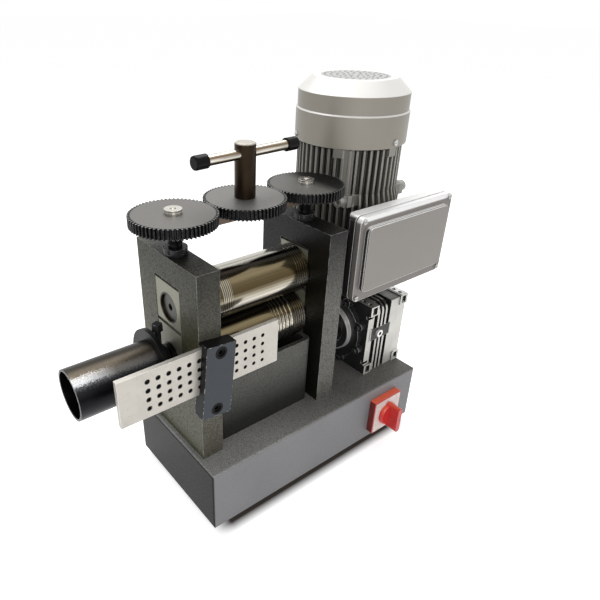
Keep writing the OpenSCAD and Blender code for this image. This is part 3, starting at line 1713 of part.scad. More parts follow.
place() base_shell();
place() bottom_plate();
place() feet();
place() foot_screws();
place() base_bolts();
place() left_pillar();
place() right_pillar();
place() roller_guard();
place() lower_blocks();
place() lower_bushes();
place() springs();
place() screw_collars();
place() lower_roller();
place() lower_drive_gear();
place() drum_tube();
place() drum_hub();
place() drum_screw();
place() upper_blocks();
place() upper_bushes();
place() bridge_bar();
place() upper_roller();
place() upper_drive_gear();
place() left_screw();
place() left_screw_gear();
place() right_screw();
place() right_screw_gear();
place() centre_gear();
place() handle_post();
place() sliding_bar();
place() bar_caps();
place() plate_holder();
place() holder_screw();
place() plate_clamp_screw();
place() draw_plate();
place() gearbox_housing();
place() output_cover();
place() cover_bolts();
place() oil_plug();
place() bearings();
place() worm_wheel();
place() output_shaft();
place() output_gear();
place() worm();
place() motor_frame();
place() lower_shield();
place() upper_shield();
place() stator();
place() rotor();
place() fan();
place() fan_cowl();
place() cowl_screws();
place() box_body();
place() box_gasket();
place() box_lid();
place() lid_screws();
place() capacitors();
place() switch_body();
place() switch_frame();
place() switch_face();
place() switch_knob();
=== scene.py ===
import math

import bmesh
import bpy
from mathutils import Matrix, Vector


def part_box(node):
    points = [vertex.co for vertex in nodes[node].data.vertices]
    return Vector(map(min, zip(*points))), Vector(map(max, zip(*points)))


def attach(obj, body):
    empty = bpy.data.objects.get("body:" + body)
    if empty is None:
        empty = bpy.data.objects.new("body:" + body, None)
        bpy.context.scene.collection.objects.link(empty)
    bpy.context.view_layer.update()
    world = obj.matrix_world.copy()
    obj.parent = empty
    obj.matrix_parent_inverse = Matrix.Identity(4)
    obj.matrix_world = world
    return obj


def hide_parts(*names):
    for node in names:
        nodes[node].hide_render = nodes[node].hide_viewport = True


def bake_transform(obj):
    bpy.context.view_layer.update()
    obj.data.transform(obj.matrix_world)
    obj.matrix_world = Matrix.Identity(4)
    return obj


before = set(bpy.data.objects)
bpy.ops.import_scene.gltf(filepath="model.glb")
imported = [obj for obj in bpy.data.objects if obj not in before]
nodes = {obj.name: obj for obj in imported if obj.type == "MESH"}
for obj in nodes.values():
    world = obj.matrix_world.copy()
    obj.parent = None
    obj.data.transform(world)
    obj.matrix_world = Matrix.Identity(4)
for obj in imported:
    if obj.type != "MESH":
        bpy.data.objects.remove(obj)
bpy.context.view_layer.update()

# Camera: stands off the drum's end, a little higher than the motor, and looks down along
# the rollers. The small shift keeps the mill left of the frame's middle.
camera_at = Vector((-0.41256, -0.49782, 0.61581))
camera_ahead = Vector((0.54136, 0.67621, -0.49967)).normalized()
camera_up = Vector((0.29389, 0.40461, 0.86598))
camera_right = camera_ahead.cross(camera_up).normalized()
camera_up = camera_right.cross(camera_ahead)

camera_data = bpy.data.cameras.new("camera")
camera_data.sensor_width = 36.0
camera_data.lens = 33.16
camera_data.shift_x = 0.066
camera_data.shift_y = 0.015
camera_data.clip_end = 100.0
camera = bpy.data.objects.new("camera", camera_data)
camera.matrix_world = Matrix.Translation(camera_at) @ Matrix(
    (camera_right, camera_up, -camera_ahead)).transposed().to_4x4()
bpy.context.scene.collection.objects.link(camera)
bpy.context.scene.camera = camera


# Table and light: a plain white sweep under one broad overhead lamp that stands a little
# behind the mill, with a weak lamp in front. The table keeps the mill's soft shadow.
class Wire:
    """One output of a shader node, used in plain arithmetic."""

    def __init__(self, tree, socket):
        self.tree = tree
        self.socket = socket

    def reckon(self, operation, first, second):
        step = self.tree.nodes.new("ShaderNodeMath")
        step.operation = operation
        for place, value in zip(step.inputs, (first, second)):
            if isinstance(value, Wire):
                self.tree.links.new(value.socket, place)
            else:
                place.default_value = value
        return Wire(self.tree, step.outputs[0])

    def __add__(self, other):
        return self.reckon("ADD", self, other)

    def __radd__(self, other):
        return self.reckon("ADD", other, self)

    def __sub__(self, other):
        return self.reckon("SUBTRACT", self, other)

    def __rsub__(self, other):
        return self.reckon("SUBTRACT", other, self)

    def __mul__(self, other):
        return self.reckon("MULTIPLY", self, other)

    def __rmul__(self, other):
        return self.reckon("MULTIPLY", other, self)

    def __truediv__(self, other):
        return self.reckon("DIVIDE", self, other)

    def __rtruediv__(self, other):
        return self.reckon("DIVIDE", other, self)

    def at_most(self, other):
        return self.reckon("MINIMUM", self, other)

    def at_least(self, other):
        return self.reckon("MAXIMUM", self, other)


class Finish:
    """A surface: its material, one Principled shader, and the nodes that vary it."""

    def __init__(self, name, tree=None):
        self.tree = tree
        if tree is None:
            self.material = bpy.data.materials.new(name)
            self.material.use_nodes = True
            self.tree = self.material.node_tree
            self.tree.nodes.clear()
            self.shader = self.tree.nodes.new("ShaderNodeBsdfPrincipled")
            self.exit = self.tree.nodes.new("ShaderNodeOutputMaterial")
            self.tree.links.new(self.shader.outputs[0], self.exit.inputs[0])

    def fill(self, node, values):
        """Set a node's sockets to values, or link them to wires."""
        for key, value in values.items():
            if isinstance(value, Wire):
                self.tree.links.new(value.socket, node.inputs[key])
            else:
                node.inputs[key].default_value = value

    def node(self, kind, settings=None, values=None, output=0):
        """A new node with its settings and its sockets filled, as the wire of one output."""
        made = self.tree.nodes.new(kind)
        for key, value in (settings or {}).items():
            if key == "stops":
                while len(made.color_ramp.elements) < len(value):
                    made.color_ramp.elements.new(0.5)
                for element, (position, colour) in zip(made.color_ramp.elements, value):
                    element.position = position
                    element.color = colour
            else:
                setattr(made, key, value)
        self.fill(made, values or {})
        return Wire(self.tree, made.outputs[output])

    def look(self, **values):
        """Fill the shader's sockets, named with underscores for spaces."""
        self.fill(self.shader, {key.replace("_", " "): value for key, value in values.items()})
        return self

    def place(self):
        """Coordinates that ride with the piece, in metres."""
        return self.node("ShaderNodeTexCoord", output="Object")

    def stretched(self, x, y, z):
        """The piece's coordinates, each times its own factor."""
        return self.node("ShaderNodeMapping", {}, {"Vector": self.place(), "Scale": (x, y, z)})

    def grain(self, scale, detail=2.0, where=None, rough=0.5):
        """Cloudy noise between 0 and 1. The scale is its coarsest waves per metre."""
        return self.node("ShaderNodeTexNoise", {},
                         {"Vector": where or self.place(), "Scale": scale, "Detail": detail,
                          "Roughness": rough})

    def step(self, value, start, end):
        """A ramp from 0 at start to 1 at end, and level beyond. Start may be the greater."""
        return self.node("ShaderNodeMapRange", {},
                         {"Value": value, "From Min": start, "From Max": end})

    def between(self, value, low, high, blur):
        """1 from low to high and 0 outside, with both ends blurred over this distance."""
        return (self.step(value, low - blur / 2, low + blur / 2)
                * self.step(value, high + blur / 2, high - blur / 2))

    def reach(self, centre, x=1.0, y=1.0, z=1.0):
        """Distance from a point, in metres. A factor of 0 leaves its axis out of the count."""
        return self.node("ShaderNodeVectorMath", {"operation": "DISTANCE"},
                         {0: self.stretched(x, y, z),
                          1: (centre[0] * x, centre[1] * y, centre[2] * z)}, "Value")

    def mix(self, mask, first, second):
        """The first colour where the mask is 0, and the second where it is 1."""
        first, second = [(*c, 1.0) if isinstance(c, tuple) and len(c) == 3 else c
                         for c in (first, second)]
        return self.node("ShaderNodeMix", {"data_type": "RGBA"}, {0: mask, 6: first, 7: second}, 2)

    def rounded(self, radius):
        """The surface's normal with every edge rounded to this radius."""
        return self.node("ShaderNodeBevel", {"samples": 6}, {"Radius": radius})

    def edge(self, radius, gain=4.0):
        """1 along the edges, falling to 0 at this distance from them."""
        true_normal = self.node("ShaderNodeNewGeometry", output="Normal")
        dot = self.node("ShaderNodeVectorMath", {"operation": "DOT_PRODUCT"},
                        {0: self.rounded(radius), 1: true_normal}, "Value")
        return ((1.0 - dot) * gain).at_most(1.0)

    def turned(self, x, y, z):
        """How far the surface looks along this direction, from -1 to 1."""
        return self.node("ShaderNodeVectorMath", {"operation": "DOT_PRODUCT"},
                         {0: self.node("ShaderNodeNewGeometry", output="Normal"),
                          1: (x, y, z)}, "Value")

    def along(self, axis):
        """One coordinate of the piece, in metres."""
        return self.node("ShaderNodeSeparateXYZ", {}, {"Vector": self.place()}, axis)

    def ramp(self, value, stops):
        """A colour that runs through the stops, each a position and a colour as it looks."""
        return self.node("ShaderNodeValToRGB",
                         {"stops": [(at, (*seen_as(*colour), 1.0)) for at, colour in stops]},
                         {0: value})

    def relief(self, height, depth, radius=0.0, strength=1.0):
        """Normals for a surface whose height varies by this depth in metres."""
        values = {"Height": height, "Distance": depth, "Strength": strength}
        if radius:
            values["Normal"] = self.rounded(radius)
        return self.node("ShaderNodeBump", {}, values)


def seen_as(red, green, blue):
    """A colour given as it looks, 0 to 255, in the linear values that shaders take."""
    return tuple(((value / 255 + 0.055) / 1.055) ** 2.4 if value > 10 else value / 3295
                 for value in (red, green, blue))


def softbox(name, at, towards, width, height, watts):
    """A broad lamp at one point that shines towards another."""
    data = bpy.data.lights.new(name, "AREA")
    data.shape = "RECTANGLE"
    data.size = width
    data.size_y = height
    data.energy = watts
    lamp = bpy.data.objects.new(name, data)
    lamp.location = at
    lamp.rotation_euler = (Vector(towards) - Vector(at)).to_track_quat("-Z", "Y").to_euler()
    bpy.context.scene.collection.objects.link(lamp)


softbox("lamp_over", at=(0.35, 0.55, 1.75), towards=(0.05, 0.0, 0.2), width=1.5, height=1.1,
        watts=21.0)
softbox("lamp_front", at=(-0.9, -1.7, 1.3), towards=(0.0, 0.0, 0.2), width=1.2, height=1.2,
        watts=14.0)

world = bpy.data.worlds.new("studio")
bpy.context.scene.world = world
world.use_nodes = True
sky = Finish("studio", world.node_tree)
seen = (sky.node("ShaderNodeLightPath", output="Is Camera Ray")
        + sky.node("ShaderNodeLightPath", output="Is Glossy Ray")
        + sky.node("ShaderNodeLightPath", output="Is Transmission Ray")).at_most(1.0)
sky_strength = 0.42
world.node_tree.links.new((sky_strength + seen * (1.0 - sky_strength)).socket,
                          world.node_tree.nodes["Background"].inputs["Strength"])
world.node_tree.nodes["Background"].inputs["Color"].default_value = (1.0, 1.0, 1.0, 1.0)

table_half = 14.0
table_glow = 0.63
table_mesh = bpy.data.meshes.new("table")
table_mesh.from_pydata([(x * table_half, y * table_half, 0.0)
                        for x, y in ((-1, -1), (1, -1), (1, 1), (-1, 1))], [], [(0, 1, 2, 3)])
table = bpy.data.objects.new("table", table_mesh)
bpy.context.scene.collection.objects.link(table)
table_top = Finish("table_top")
table_seen = (table_top.node("ShaderNodeLightPath", output="Is Camera Ray")
              + table_top.node("ShaderNodeLightPath", output="Is Glossy Ray")).at_most(1.0)

# Under the base and along its front edge hardly any light reaches the table.
base_low, base_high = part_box("base_shell")
table_x = table_top.along("X")
table_y = table_top.along("Y")
gloom = (table_top.step(table_x, base_low.x + 0.004, base_low.x + 0.030)
         * table_top.step(table_x, base_high.x - 0.004, base_high.x - 0.040)
         * table_top.step(table_y, base_low.y - 0.010, base_low.y + 0.005)
         * table_top.step(table_y, base_high.y + 0.004, base_high.y - 0.010))
table_top.look(Base_Color=table_top.mix(gloom, (0.86, 0.86, 0.86), (0.10, 0.085, 0.075)),
               Roughness=0.9, Specular_IOR_Level=0.0, Emission_Color=(1.0, 1.0, 1.0, 1.0))
glow = table_top.tree.nodes.new("ShaderNodeEmission")
glow.inputs["Strength"].default_value = table_glow
bare = table_top.tree.nodes.new("ShaderNodeAddShader")
pick = table_top.tree.nodes.new("ShaderNodeMixShader")
table_top.tree.links.new(table_top.shader.outputs[0], bare.inputs[0])
table_top.tree.links.new(glow.outputs[0], bare.inputs[1])
table_top.tree.links.new((table_seen * (1.0 - gloom)).socket, pick.inputs[0])
table_top.tree.links.new(table_top.shader.outputs[0], pick.inputs[1])
table_top.tree.links.new(bare.outputs[0], pick.inputs[2])
table_top.tree.links.new(pick.outputs[0], table_top.exit.inputs[0])
table_mesh.materials.append(table_top.material)

bpy.context.scene.view_settings.view_transform = "Standard"


# Base: a folded sheet-steel housing under dark grey hammertone enamel, which dries in
# shallow dimples and is rubbed bright along the bent edges. A plate closes it from below.
def coat(finish, *names):
    """Give the named CAD pieces this finish."""
    for name in names:
        node = nodes[name]
        for slot in node.material_slots:
            slot.link = "OBJECT"
            slot.material = finish.material


usual_dimple = 430.0
dimple_depth = 0.00030
gear_shadow_reach = (0.018, 0.046)


def hammertone(name, top, front, left, worn, dim=1.0, span=(0.25, 0.36), pale=0.0,
               dimple=usual_dimple, fleck_front=0.6, gloss=0.25, screw=None):
    """Dimpled enamel, its top, front and left side coloured apart as painted light and shade.

    The sides darken with painted shade to the share dim over the span of heights, pale lightens the
    top towards its near end with painted light, and a painted gear shadow darkens the top round a
    press screw where one is named.
    """
    finish = Finish(name)
    upper = finish.step(finish.turned(0, 0, 1), 0.5, 0.8)
    dimples = finish.node("ShaderNodeTexVoronoi", {"feature": "SMOOTH_F1"},
                          {"Vector": finish.place(), "Scale": dimple, "Smoothness": 0.45})
    height = dimples * 0.8 + finish.grain(900.0, 2.0) * 0.35
    fleck = finish.step(height, 0.35, 0.75)
    flow = finish.grain(9.0, 2.0)
    # Painted light on the top towards its near end, and painted shade on each side and up or down
    # the sides' height.
    near_end = finish.step(finish.along("X") + finish.along("Y"), 0.02, -0.16)
    sides = finish.mix(finish.step(finish.turned(-1, 0, 0), 0.5, 0.8), front, left)
    sides = finish.mix(finish.step(finish.along("Z"), *span) * (1.0 - dim), sides, (0.0, 0.0, 0.0))
    colour = finish.mix(upper, sides, finish.mix(near_end * pale, top, (0.46, 0.46, 0.45)))
    # Painted shadow of the screw's gear, darkening the top round the screw.
    if screw:
        screw_low, screw_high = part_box(screw)
        gear_shadow = 1.0 - finish.step(finish.reach((screw_low + screw_high) / 2, z=0.0), *gear_shadow_reach)
        colour = finish.mix(upper * gear_shadow * 0.85, colour, (0.006, 0.006, 0.006))
    shade = finish.mix(fleck * (fleck_front + upper * (0.75 - fleck_front)) + flow * 0.35 + 0.1,
                       (1.26, 1.26, 1.26), (0.52, 0.52, 0.52))
    colour = finish.node("ShaderNodeMix", {"data_type": "RGBA", "blend_type": "MULTIPLY"},
                         {0: 1.0, 6: colour, 7: shade}, 2)
    bright = finish.edge(0.0008, 5.0) * finish.step(finish.grain(120.0, 3.0), 0.36, 0.56)
    finish.look(Base_Color=finish.mix(bright * worn, colour, (0.62, 0.62, 0.6)),
                Metallic=0.15, Roughness=0.36 + fleck * 0.16, Specular_IOR_Level=gloss,
                Normal=finish.relief(height, dimple_depth * usual_dimple / dimple, 0.0006, 0.8))
    return finish


# Painted shade makes the base's left end near black, and painted light pales its top towards the
# near end.
base_paint = hammertone(
    "hammertone_base", top=seen_as(121, 119, 115), front=seen_as(139, 139, 141),
    left=seen_as(12, 12, 10), worn=0.9, pale=0.7, dimple=800.0, fleck_front=0.2, gloss=0.15)
coat(base_paint, "base_shell")

zinc = Finish("zinc_plate")
zinc_cloud = zinc.grain(60.0, 4.0)
zinc.look(Base_Color=zinc.mix(zinc_cloud, (0.62, 0.62, 0.6), (0.44, 0.45, 0.46)), Metallic=1.0,
          Roughness=0.28 + zinc_cloud * 0.2,
          Normal=zinc.relief(zinc.grain(1800.0, 2.0), 0.00003, 0.0003))
coat(zinc, "bottom_plate", "foot_screws", "base_bolts", "springs")

rubber = Finish("black_rubber")
rubber_bloom = rubber.grain(140.0, 4.0)
rubber.look(Base_Color=rubber.mix(rubber_bloom, (0.018, 0.018, 0.018), (0.045, 0.044, 0.042)),
            Roughness=0.62 + rubber_bloom * 0.2,
            Normal=rubber.relief(rubber.grain(1200.0, 3.0), 0.00006, 0.0008))
coat(rubber, "feet")

# Pillars and guard: thick steel uprights and the cover between them, under the same enamel. Their
# ground side faces dry smoother. Each face takes its own colour as painted light and shade, darker
# up or down their height, and the pillars' tops darken round the screws with painted gear shadows.
pillar_paint = hammertone(
    "hammertone_pillar", top=seen_as(72, 72, 66), front=seen_as(98, 96, 85),
    left=seen_as(82, 82, 62), worn=0.9, dim=0.32, screw="left_screw")
coat(pillar_paint, "left_pillar")
inner_paint = hammertone(
    "hammertone_inner", top=seen_as(34, 34, 30), front=seen_as(114, 113, 108),
    left=seen_as(20, 21, 15), worn=0.9, dim=0.05, screw="right_screw")
coat(inner_paint, "right_pillar")
guard_paint = hammertone(
    "hammertone_guard", top=seen_as(72, 72, 68), front=seen_as(100, 100, 96),
    left=seen_as(50, 50, 46), worn=0.5, dim=0.22, span=(0.190, 0.125), dimple=600.0,
    fleck_front=0.45, gloss=0.15)
coat(guard_paint, "roller_guard")

# Bearing blocks: cast iron, milled on the faces that slide in the pillars' windows and
# painted thinly over. The bronze bushes in them are dark with oil.
block_iron = Finish("cast_block")
block_mill = block_iron.grain(120.0, 3.0, block_iron.stretched(1.0, 14.0, 1.0))
block_iron.look(
    Base_Color=block_iron.mix(block_iron.edge(0.0008, 3.0) * 0.8, block_iron.mix(
        block_mill, seen_as(126, 126, 110), seen_as(150, 150, 134)), (0.5, 0.49, 0.47)),
    Metallic=0.5, Roughness=0.38 + block_mill * 0.15,
    Normal=block_iron.relief(block_iron.grain(700.0, 3.0), 0.00008, 0.0007))
coat(block_iron, "lower_blocks", "upper_blocks")

oiled_bronze = Finish("oiled_bronze")
oil_film = oiled_bronze.grain(90.0, 4.0)
oiled_bronze.look(
    Base_Color=oiled_bronze.mix(oil_film, (0.05, 0.036, 0.020), (0.022, 0.017, 0.011)),
    Metallic=0.8, Roughness=0.3 + oil_film * 0.16,
    Normal=oiled_bronze.relief(oiled_bronze.grain(2200.0, 2.0), 0.00002, 0.0003))
coat(oiled_bronze, "lower_bushes", "upper_bushes")

# Lifting springs: zinced steel coils that push the upper blocks up. Their mesh is the CAD model's
# own.
coils_mesh = nodes["springs"].data.copy()
coils_mesh.transform(nodes["springs"].matrix_world)
coils_mesh.materials.clear()
coils_mesh.materials.append(zinc.material)
coils = bpy.data.objects.new("lifting_springs", coils_mesh)
bpy.context.scene.collection.objects.link(coils)
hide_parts("springs")
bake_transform(coils)


# Rollers: hardened steel, ground and polished, with rings and wire grooves turned in. Fine grinding
# lines run round them, and bands of brown, black and bright painted reflection follow the way the
# surface faces.
ring_pitch = 0.0026
ring_blur = 0.0005
upper_edge_faces = (0.0, 0.5, 0.866)


def polished(name, *bands, rings=None, dark_end=None, end_tone=(118, 116, 110)):
    """Polished steel, banded with painted reflections that run from its upper edge, as the viewer
    sees it, to its lower.

    Grooves are painted along the span rings, dark with painted shade and bright with painted
    highlights between, the end faces take end_tone as painted shade, and from dark_end on the steel
    is painted black as shade.
    """
    finish = Finish(name)
    lines = finish.grain(1.0, 2.0, finish.stretched(9000.0, 6.0, 6.0))
    smear = finish.grain(24.0, 4.0, finish.stretched(1.0, 3.0, 3.0))
    across = (0.5 - finish.turned(*upper_edge_faces) * 0.5 + (smear - 0.5) * 0.05
              + (lines - 0.5) * 0.03)
    streaks = finish.grain(1.0, 3.0, finish.stretched(3.0, 420.0, 420.0))
    tint = finish.mix((streaks - 0.38).at_least(0.0) * 1.8, finish.ramp(across, bands),
                      (0.05, 0.042, 0.028))
    if rings:
        wave = finish.node("ShaderNodeMath", {"operation": "SINE"}, {
            0: (finish.along("X") - rings[0] + ring_blur / 2) * (math.tau / ring_pitch)})
        groove = finish.step(wave, 0.1, 0.5)
        ringed = finish.between(finish.along("X"), *rings, ring_blur)
        tint = finish.mix(ringed * (1.0 - groove) * 0.55, tint, (0.62, 0.57, 0.46))
        tint = finish.mix(groove * ringed * 0.9, tint, (0.010, 0.008, 0.006))
    ends = finish.step(finish.turned(1, 0, 0) * finish.turned(1, 0, 0), 0.3, 0.6)
    tint = finish.mix(ends, tint, seen_as(*end_tone))
    if dark_end is not None:
        tint = finish.mix(finish.step(finish.along("X"), dark_end + 0.001, dark_end), tint,
                          (0.008, 0.008, 0.008))
    finish.look(Base_Color=tint, Metallic=0.9, Roughness=0.11 + smear * 0.08 + ends * 0.2,
                Normal=finish.relief(lines, 0.000004, 0.00025, 0.6))
    return finish


# The stops are painted reflections. The upper roller's grooves past the left pillar are painted,
# and the lower roller is painted black as shade left of that pillar.
left_pillar_low, left_pillar_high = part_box("left_pillar")
first_ring = left_pillar_high.x + 0.02675
ring_width = 0.0145
upper_steel = polished(
    "polished_upper", (0.0, (214, 212, 202)), (0.10, (206, 203, 192)), (0.135, (34, 32, 26)),
    (0.17, (14, 13, 10)), (0.205, (226, 222, 214)), (0.25, (128, 117, 90)), (0.38, (142, 128, 98)),
    (0.48, (104, 90, 62)), (0.62, (86, 71, 45)), (0.70, (150, 140, 116)), (0.77, (214, 208, 192)),
    (0.83, (205, 200, 188)), (0.89, (92, 88, 78)), (1.0, (24, 22, 18)),
    rings=(first_ring, first_ring + ring_width), end_tone=(64, 64, 60))
coat(upper_steel, "upper_roller")
lower_steel = polished(
    "polished_lower", (0.0, (84, 82, 77)), (0.10, (66, 65, 60)), (0.14, (12, 11, 7)),
    (0.19, (104, 101, 88)), (0.24, (40, 34, 19)), (0.30, (76, 66, 42)), (0.36, (152, 138, 104)),
    (0.42, (130, 116, 84)), (0.47, (84, 72, 50)), (0.54, (176, 168, 152)), (0.64, (222, 214, 198)),
    (0.76, (196, 190, 178)), (1.0, (60, 57, 50)), dark_end=left_pillar_low.x)
coat(lower_steel, "lower_roller")


# Drive gears: steel blanks with hobbed teeth, blacked in hot oxide. The faces keep fine
# turning rings, and the teeth rub each other bright along their corners.
face_ends = (-0.0006, 0.0004)
glints_start = (0.0012, 0.0022)


def black_oxide(name, tone, shine, axis=None, face=None, face_radius=0.0, dusk=None):
    """Hot black oxide, rubbed on its corners.

    Where an axis is given, the upper face is turned about it out to face_radius and has its own
    lighter tone, partly its satin finish and partly painted light from above, with painted glints
    on the teeth beyond; that tone fades to black as painted shade over the span dusk, counted along
    X from the axis.
    """
    finish = Finish(name)
    cloud = finish.grain(70.0, 5.0, None, 0.6)
    scuffs = finish.step(finish.grain(380.0, 4.0), 0.56, 0.74)
    rubbed = finish.edge(0.0005, 5.0) * finish.step(finish.grain(220.0, 3.0), 0.36, 0.6)
    colour = finish.mix(cloud, tone, tuple(c * 1.5 for c in tone))
    height = finish.grain(1500.0, 2.0)
    satin = 0.0
    if axis:
        gap = finish.reach(axis, z=0.0)
        upper = finish.step(finish.turned(0, 0, 1), 0.6, 0.9)
        rings = finish.node("ShaderNodeMath", {"operation": "SINE"}, {0: gap * 9000.0})
        height = height * 0.6 + rings * 0.2
        satin = upper * (1.0 - finish.step(gap - face_radius, *face_ends))
        glints = upper * finish.step(gap - face_radius, *glints_start) * 0.5
        if dusk:
            face = finish.mix(finish.step(finish.along("X") - axis.x, *dusk), face,
                              (0.006, 0.006, 0.006))
        colour = finish.mix(satin * (1.0 - scuffs * 0.12),
                            finish.mix(glints, colour, (0.5, 0.5, 0.48)), face)
        rubbed = rubbed * (1.0 - satin) * 0.35
    finish.look(Base_Color=finish.mix(rubbed, finish.mix(scuffs * 0.2, colour, (0.16, 0.155, 0.15)),
                                      (0.55, 0.54, 0.52)),
                Metallic=0.75, Specular_IOR_Level=0.15,
                Roughness=shine + cloud * 0.1 + satin * 0.1,
                Normal=finish.relief(height, 0.00002, 0.0004))
    return finish


gear_black = black_oxide("gear_oxide", tone=(0.035, 0.035, 0.037), shine=0.3)
coat(gear_black, "lower_drive_gear", "upper_drive_gear", "output_gear")

# Winding drum: a tube on a flange and hub, in glossy black stoved paint. Bands of brown and grey
# painted reflection run round the tube, with a bright painted highlight near its mouth that fades
# towards the flange, and the edges at its mouth are lightened.
drum_paint = Finish("drum_enamel")
drum_cloud = drum_paint.grain(22.0, 4.0)
drum_orange = drum_paint.grain(650.0, 2.0)
drum_rim = drum_paint.edge(0.0008, 5.0) * drum_paint.step(drum_paint.turned(-1, 0, 0), -0.2, 0.1)
drum_across = (0.5 - drum_paint.turned(*upper_edge_faces) * 0.5 + (drum_orange - 0.5) * 0.16
               + (drum_cloud - 0.5) * 0.05)
tube_low, tube_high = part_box("drum_tube")
tube_bore = (0.0286, 0.0296)
mouth_reflection = (
    (0.0, (44, 42, 34)), (0.1, (68, 62, 54)), (0.18, (78, 71, 61)), (0.25, (200, 198, 196)),
    (0.32, (238, 240, 242)), (0.37, (94, 96, 97)), (0.45, (40, 41, 44)), (0.6, (18, 18, 20)),
    (0.75, (32, 32, 34)), (0.9, (58, 58, 60)), (1.0, (48, 47, 50)))
root_reflection = (
    (0.0, (34, 32, 26)), (0.1, (62, 57, 50)), (0.19, (80, 73, 63)), (0.25, (116, 111, 104)),
    (0.32, (106, 104, 102)), (0.4, (50, 50, 52)), (0.48, (28, 28, 30)), (0.6, (18, 18, 20)),
    (0.75, (30, 30, 32)), (0.9, (50, 50, 52)), (1.0, (44, 43, 46)))
drum_reflection = drum_paint.mix(
    drum_paint.step(drum_paint.along("X"), tube_low.x + 0.012, tube_low.x + 0.050),
    drum_paint.ramp(drum_across, mouth_reflection), drum_paint.ramp(drum_across, root_reflection))
drum_flat = drum_paint.step(drum_paint.turned(1, 0, 0) * drum_paint.turned(1, 0, 0), 0.3, 0.6)
drum_outside = drum_paint.step(drum_paint.reach((tube_low + tube_high) / 2, x=0.0), *tube_bore)
drum_paint.look(
    Base_Color=drum_paint.mix(drum_rim * 0.7, drum_paint.mix(
        (drum_flat + 1.0 - drum_outside).at_most(1.0), drum_reflection, (0.007, 0.007, 0.008)),
        (0.6, 0.59, 0.57)),
    Metallic=0.85, Specular_IOR_Level=0.2, Roughness=0.3 + drum_cloud * 0.1,
    Normal=drum_paint.relief(drum_orange, 0.00004, 0.0006))
coat(drum_paint, "drum_tube")

hub_paint = Finish("hub_enamel")
hub_cloud = hub_paint.grain(40.0, 4.0)
hub_rubbed = hub_paint.edge(0.0007, 4.0) * hub_paint.step(hub_cloud, 0.4, 0.6) * 0.5
hub_paint.look(
    Base_Color=hub_paint.mix(hub_rubbed, hub_paint.mix(
        hub_cloud, (0.004, 0.004, 0.004), (0.012, 0.012, 0.012)), (0.3, 0.3, 0.29)),
    Metallic=0.5, Specular_IOR_Level=0.1, Roughness=0.34 + hub_cloud * 0.12,
    Normal=hub_paint.relief(hub_paint.grain(650.0, 2.0), 0.00004, 0.0006))
coat(hub_paint, "drum_hub")

small_black = black_oxide("fastener_oxide", tone=(0.03, 0.03, 0.032), shine=0.34)
coat(small_black, "drum_screw", "screw_collars")

# Bridge and press screws: a browned flat bar rides on both screws under their gears. Each
# screw is blacked up to its gear and bare above it, with a rolled thread under the bar.
brown_steel = Finish("browned_steel")
brown_cloud = brown_steel.grain(45.0, 5.0)
brown_steel.look(
    Base_Color=brown_steel.mix(brown_steel.edge(0.0008, 3.0) * 0.7, brown_steel.mix(
        brown_cloud, (0.085, 0.062, 0.048), (0.15, 0.11, 0.08)), (0.45, 0.4, 0.34)),
    Metallic=0.7, Roughness=0.34 + brown_cloud * 0.14,
    Normal=brown_steel.relief(brown_steel.grain(900.0, 3.0), 0.00005, 0.0008))
coat(brown_steel, "bridge_bar")

screw_steel = Finish("press_screw")
screw_smear = screw_steel.grain(50.0, 4.0)
screw_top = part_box("left_screw_gear")[1].z
screw_bare = screw_steel.step(screw_steel.along("Z"), screw_top - 0.001, screw_top)
screw_steel.look(
    Base_Color=screw_steel.mix(screw_bare, (0.012, 0.012, 0.012), screw_steel.mix(
        screw_smear, (0.78, 0.76, 0.71), (0.56, 0.53, 0.48))), Metallic=0.95,
    Roughness=0.3 + screw_smear * 0.1 - screw_bare * 0.14,
    Normal=screw_steel.relief(screw_steel.grain(2400.0, 2.0), 0.00001, 0.0004))
coat(screw_steel, "left_screw", "right_screw")

thread_root = 0.0079
thread_crest = 0.0087
thread_pitch = 0.002
thread_end = 0.0034


def thread(name, axis, low, high, body):
    """A rolled thread round an upright screw, as one ridge that climbs it."""
    around = 28
    steps = int((high - low) / thread_pitch * around)
    profile = ((thread_root, 0.0), (thread_crest, 0.38), (thread_crest, 0.56), (thread_root, 0.94))
    made = bmesh.new()
    rows = []
    for index in range(steps + 1):
        angle = math.tau * index / around
        foot = low + (high - low - thread_pitch) * index / steps
        rows.append([made.verts.new((axis.x + radius * math.cos(angle),
                                     axis.y + radius * math.sin(angle),
                                     foot + rise * thread_pitch))
                     for radius, rise in profile])
    for before, after in zip(rows, rows[1:]):
        for side in range(len(profile) - 1):
            made.faces.new((before[side], after[side], after[side + 1], before[side + 1]))
    made.faces.new(rows[0])
    made.faces.new(reversed(rows[-1]))
    mesh = bpy.data.meshes.new(name)
    made.to_mesh(mesh)
    made.free()
    mesh.materials.append(screw_steel.material)
    ridge = bpy.data.objects.new(name, mesh)
    bpy.context.scene.collection.objects.link(ridge)
    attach(ridge, body)


collar_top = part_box("screw_collars")[1].z
bar_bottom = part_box("bridge_bar")[0].z
for screw_name, body in (("left_screw", "screw_left"), ("right_screw", "screw_right")):
    gear_low, gear_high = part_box(screw_name + "_gear")
    thread(screw_name + "_thread", (gear_low + gear_high) / 2, collar_top + thread_end,
           bar_bottom - thread_end, body)

# Top gears: the handle's gear between the two screw gears, blacked like the drive gears. Their
# broad faces are turned, which draws fine rings round each axis, and are lightened with painted
# light; the right gear's face darkens to the right as painted shade.
tooth_band = 0.0034
for gear_name, face, dusk in (
        ("left_screw_gear", seen_as(110, 108, 105), None),
        ("centre_gear", seen_as(116, 115, 112), None),
        ("right_screw_gear", seen_as(96, 95, 92), (-0.002, 0.018))):
    gear_low, gear_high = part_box(gear_name)
    middle = (gear_low + gear_high) / 2
    coat(black_oxide(gear_name + "_oxide", tone=(0.012, 0.012, 0.013), shine=0.33, axis=middle,
                     face=face, face_radius=(gear_high.x - gear_low.x) / 2 - tooth_band,
                     dusk=dusk), gear_name)

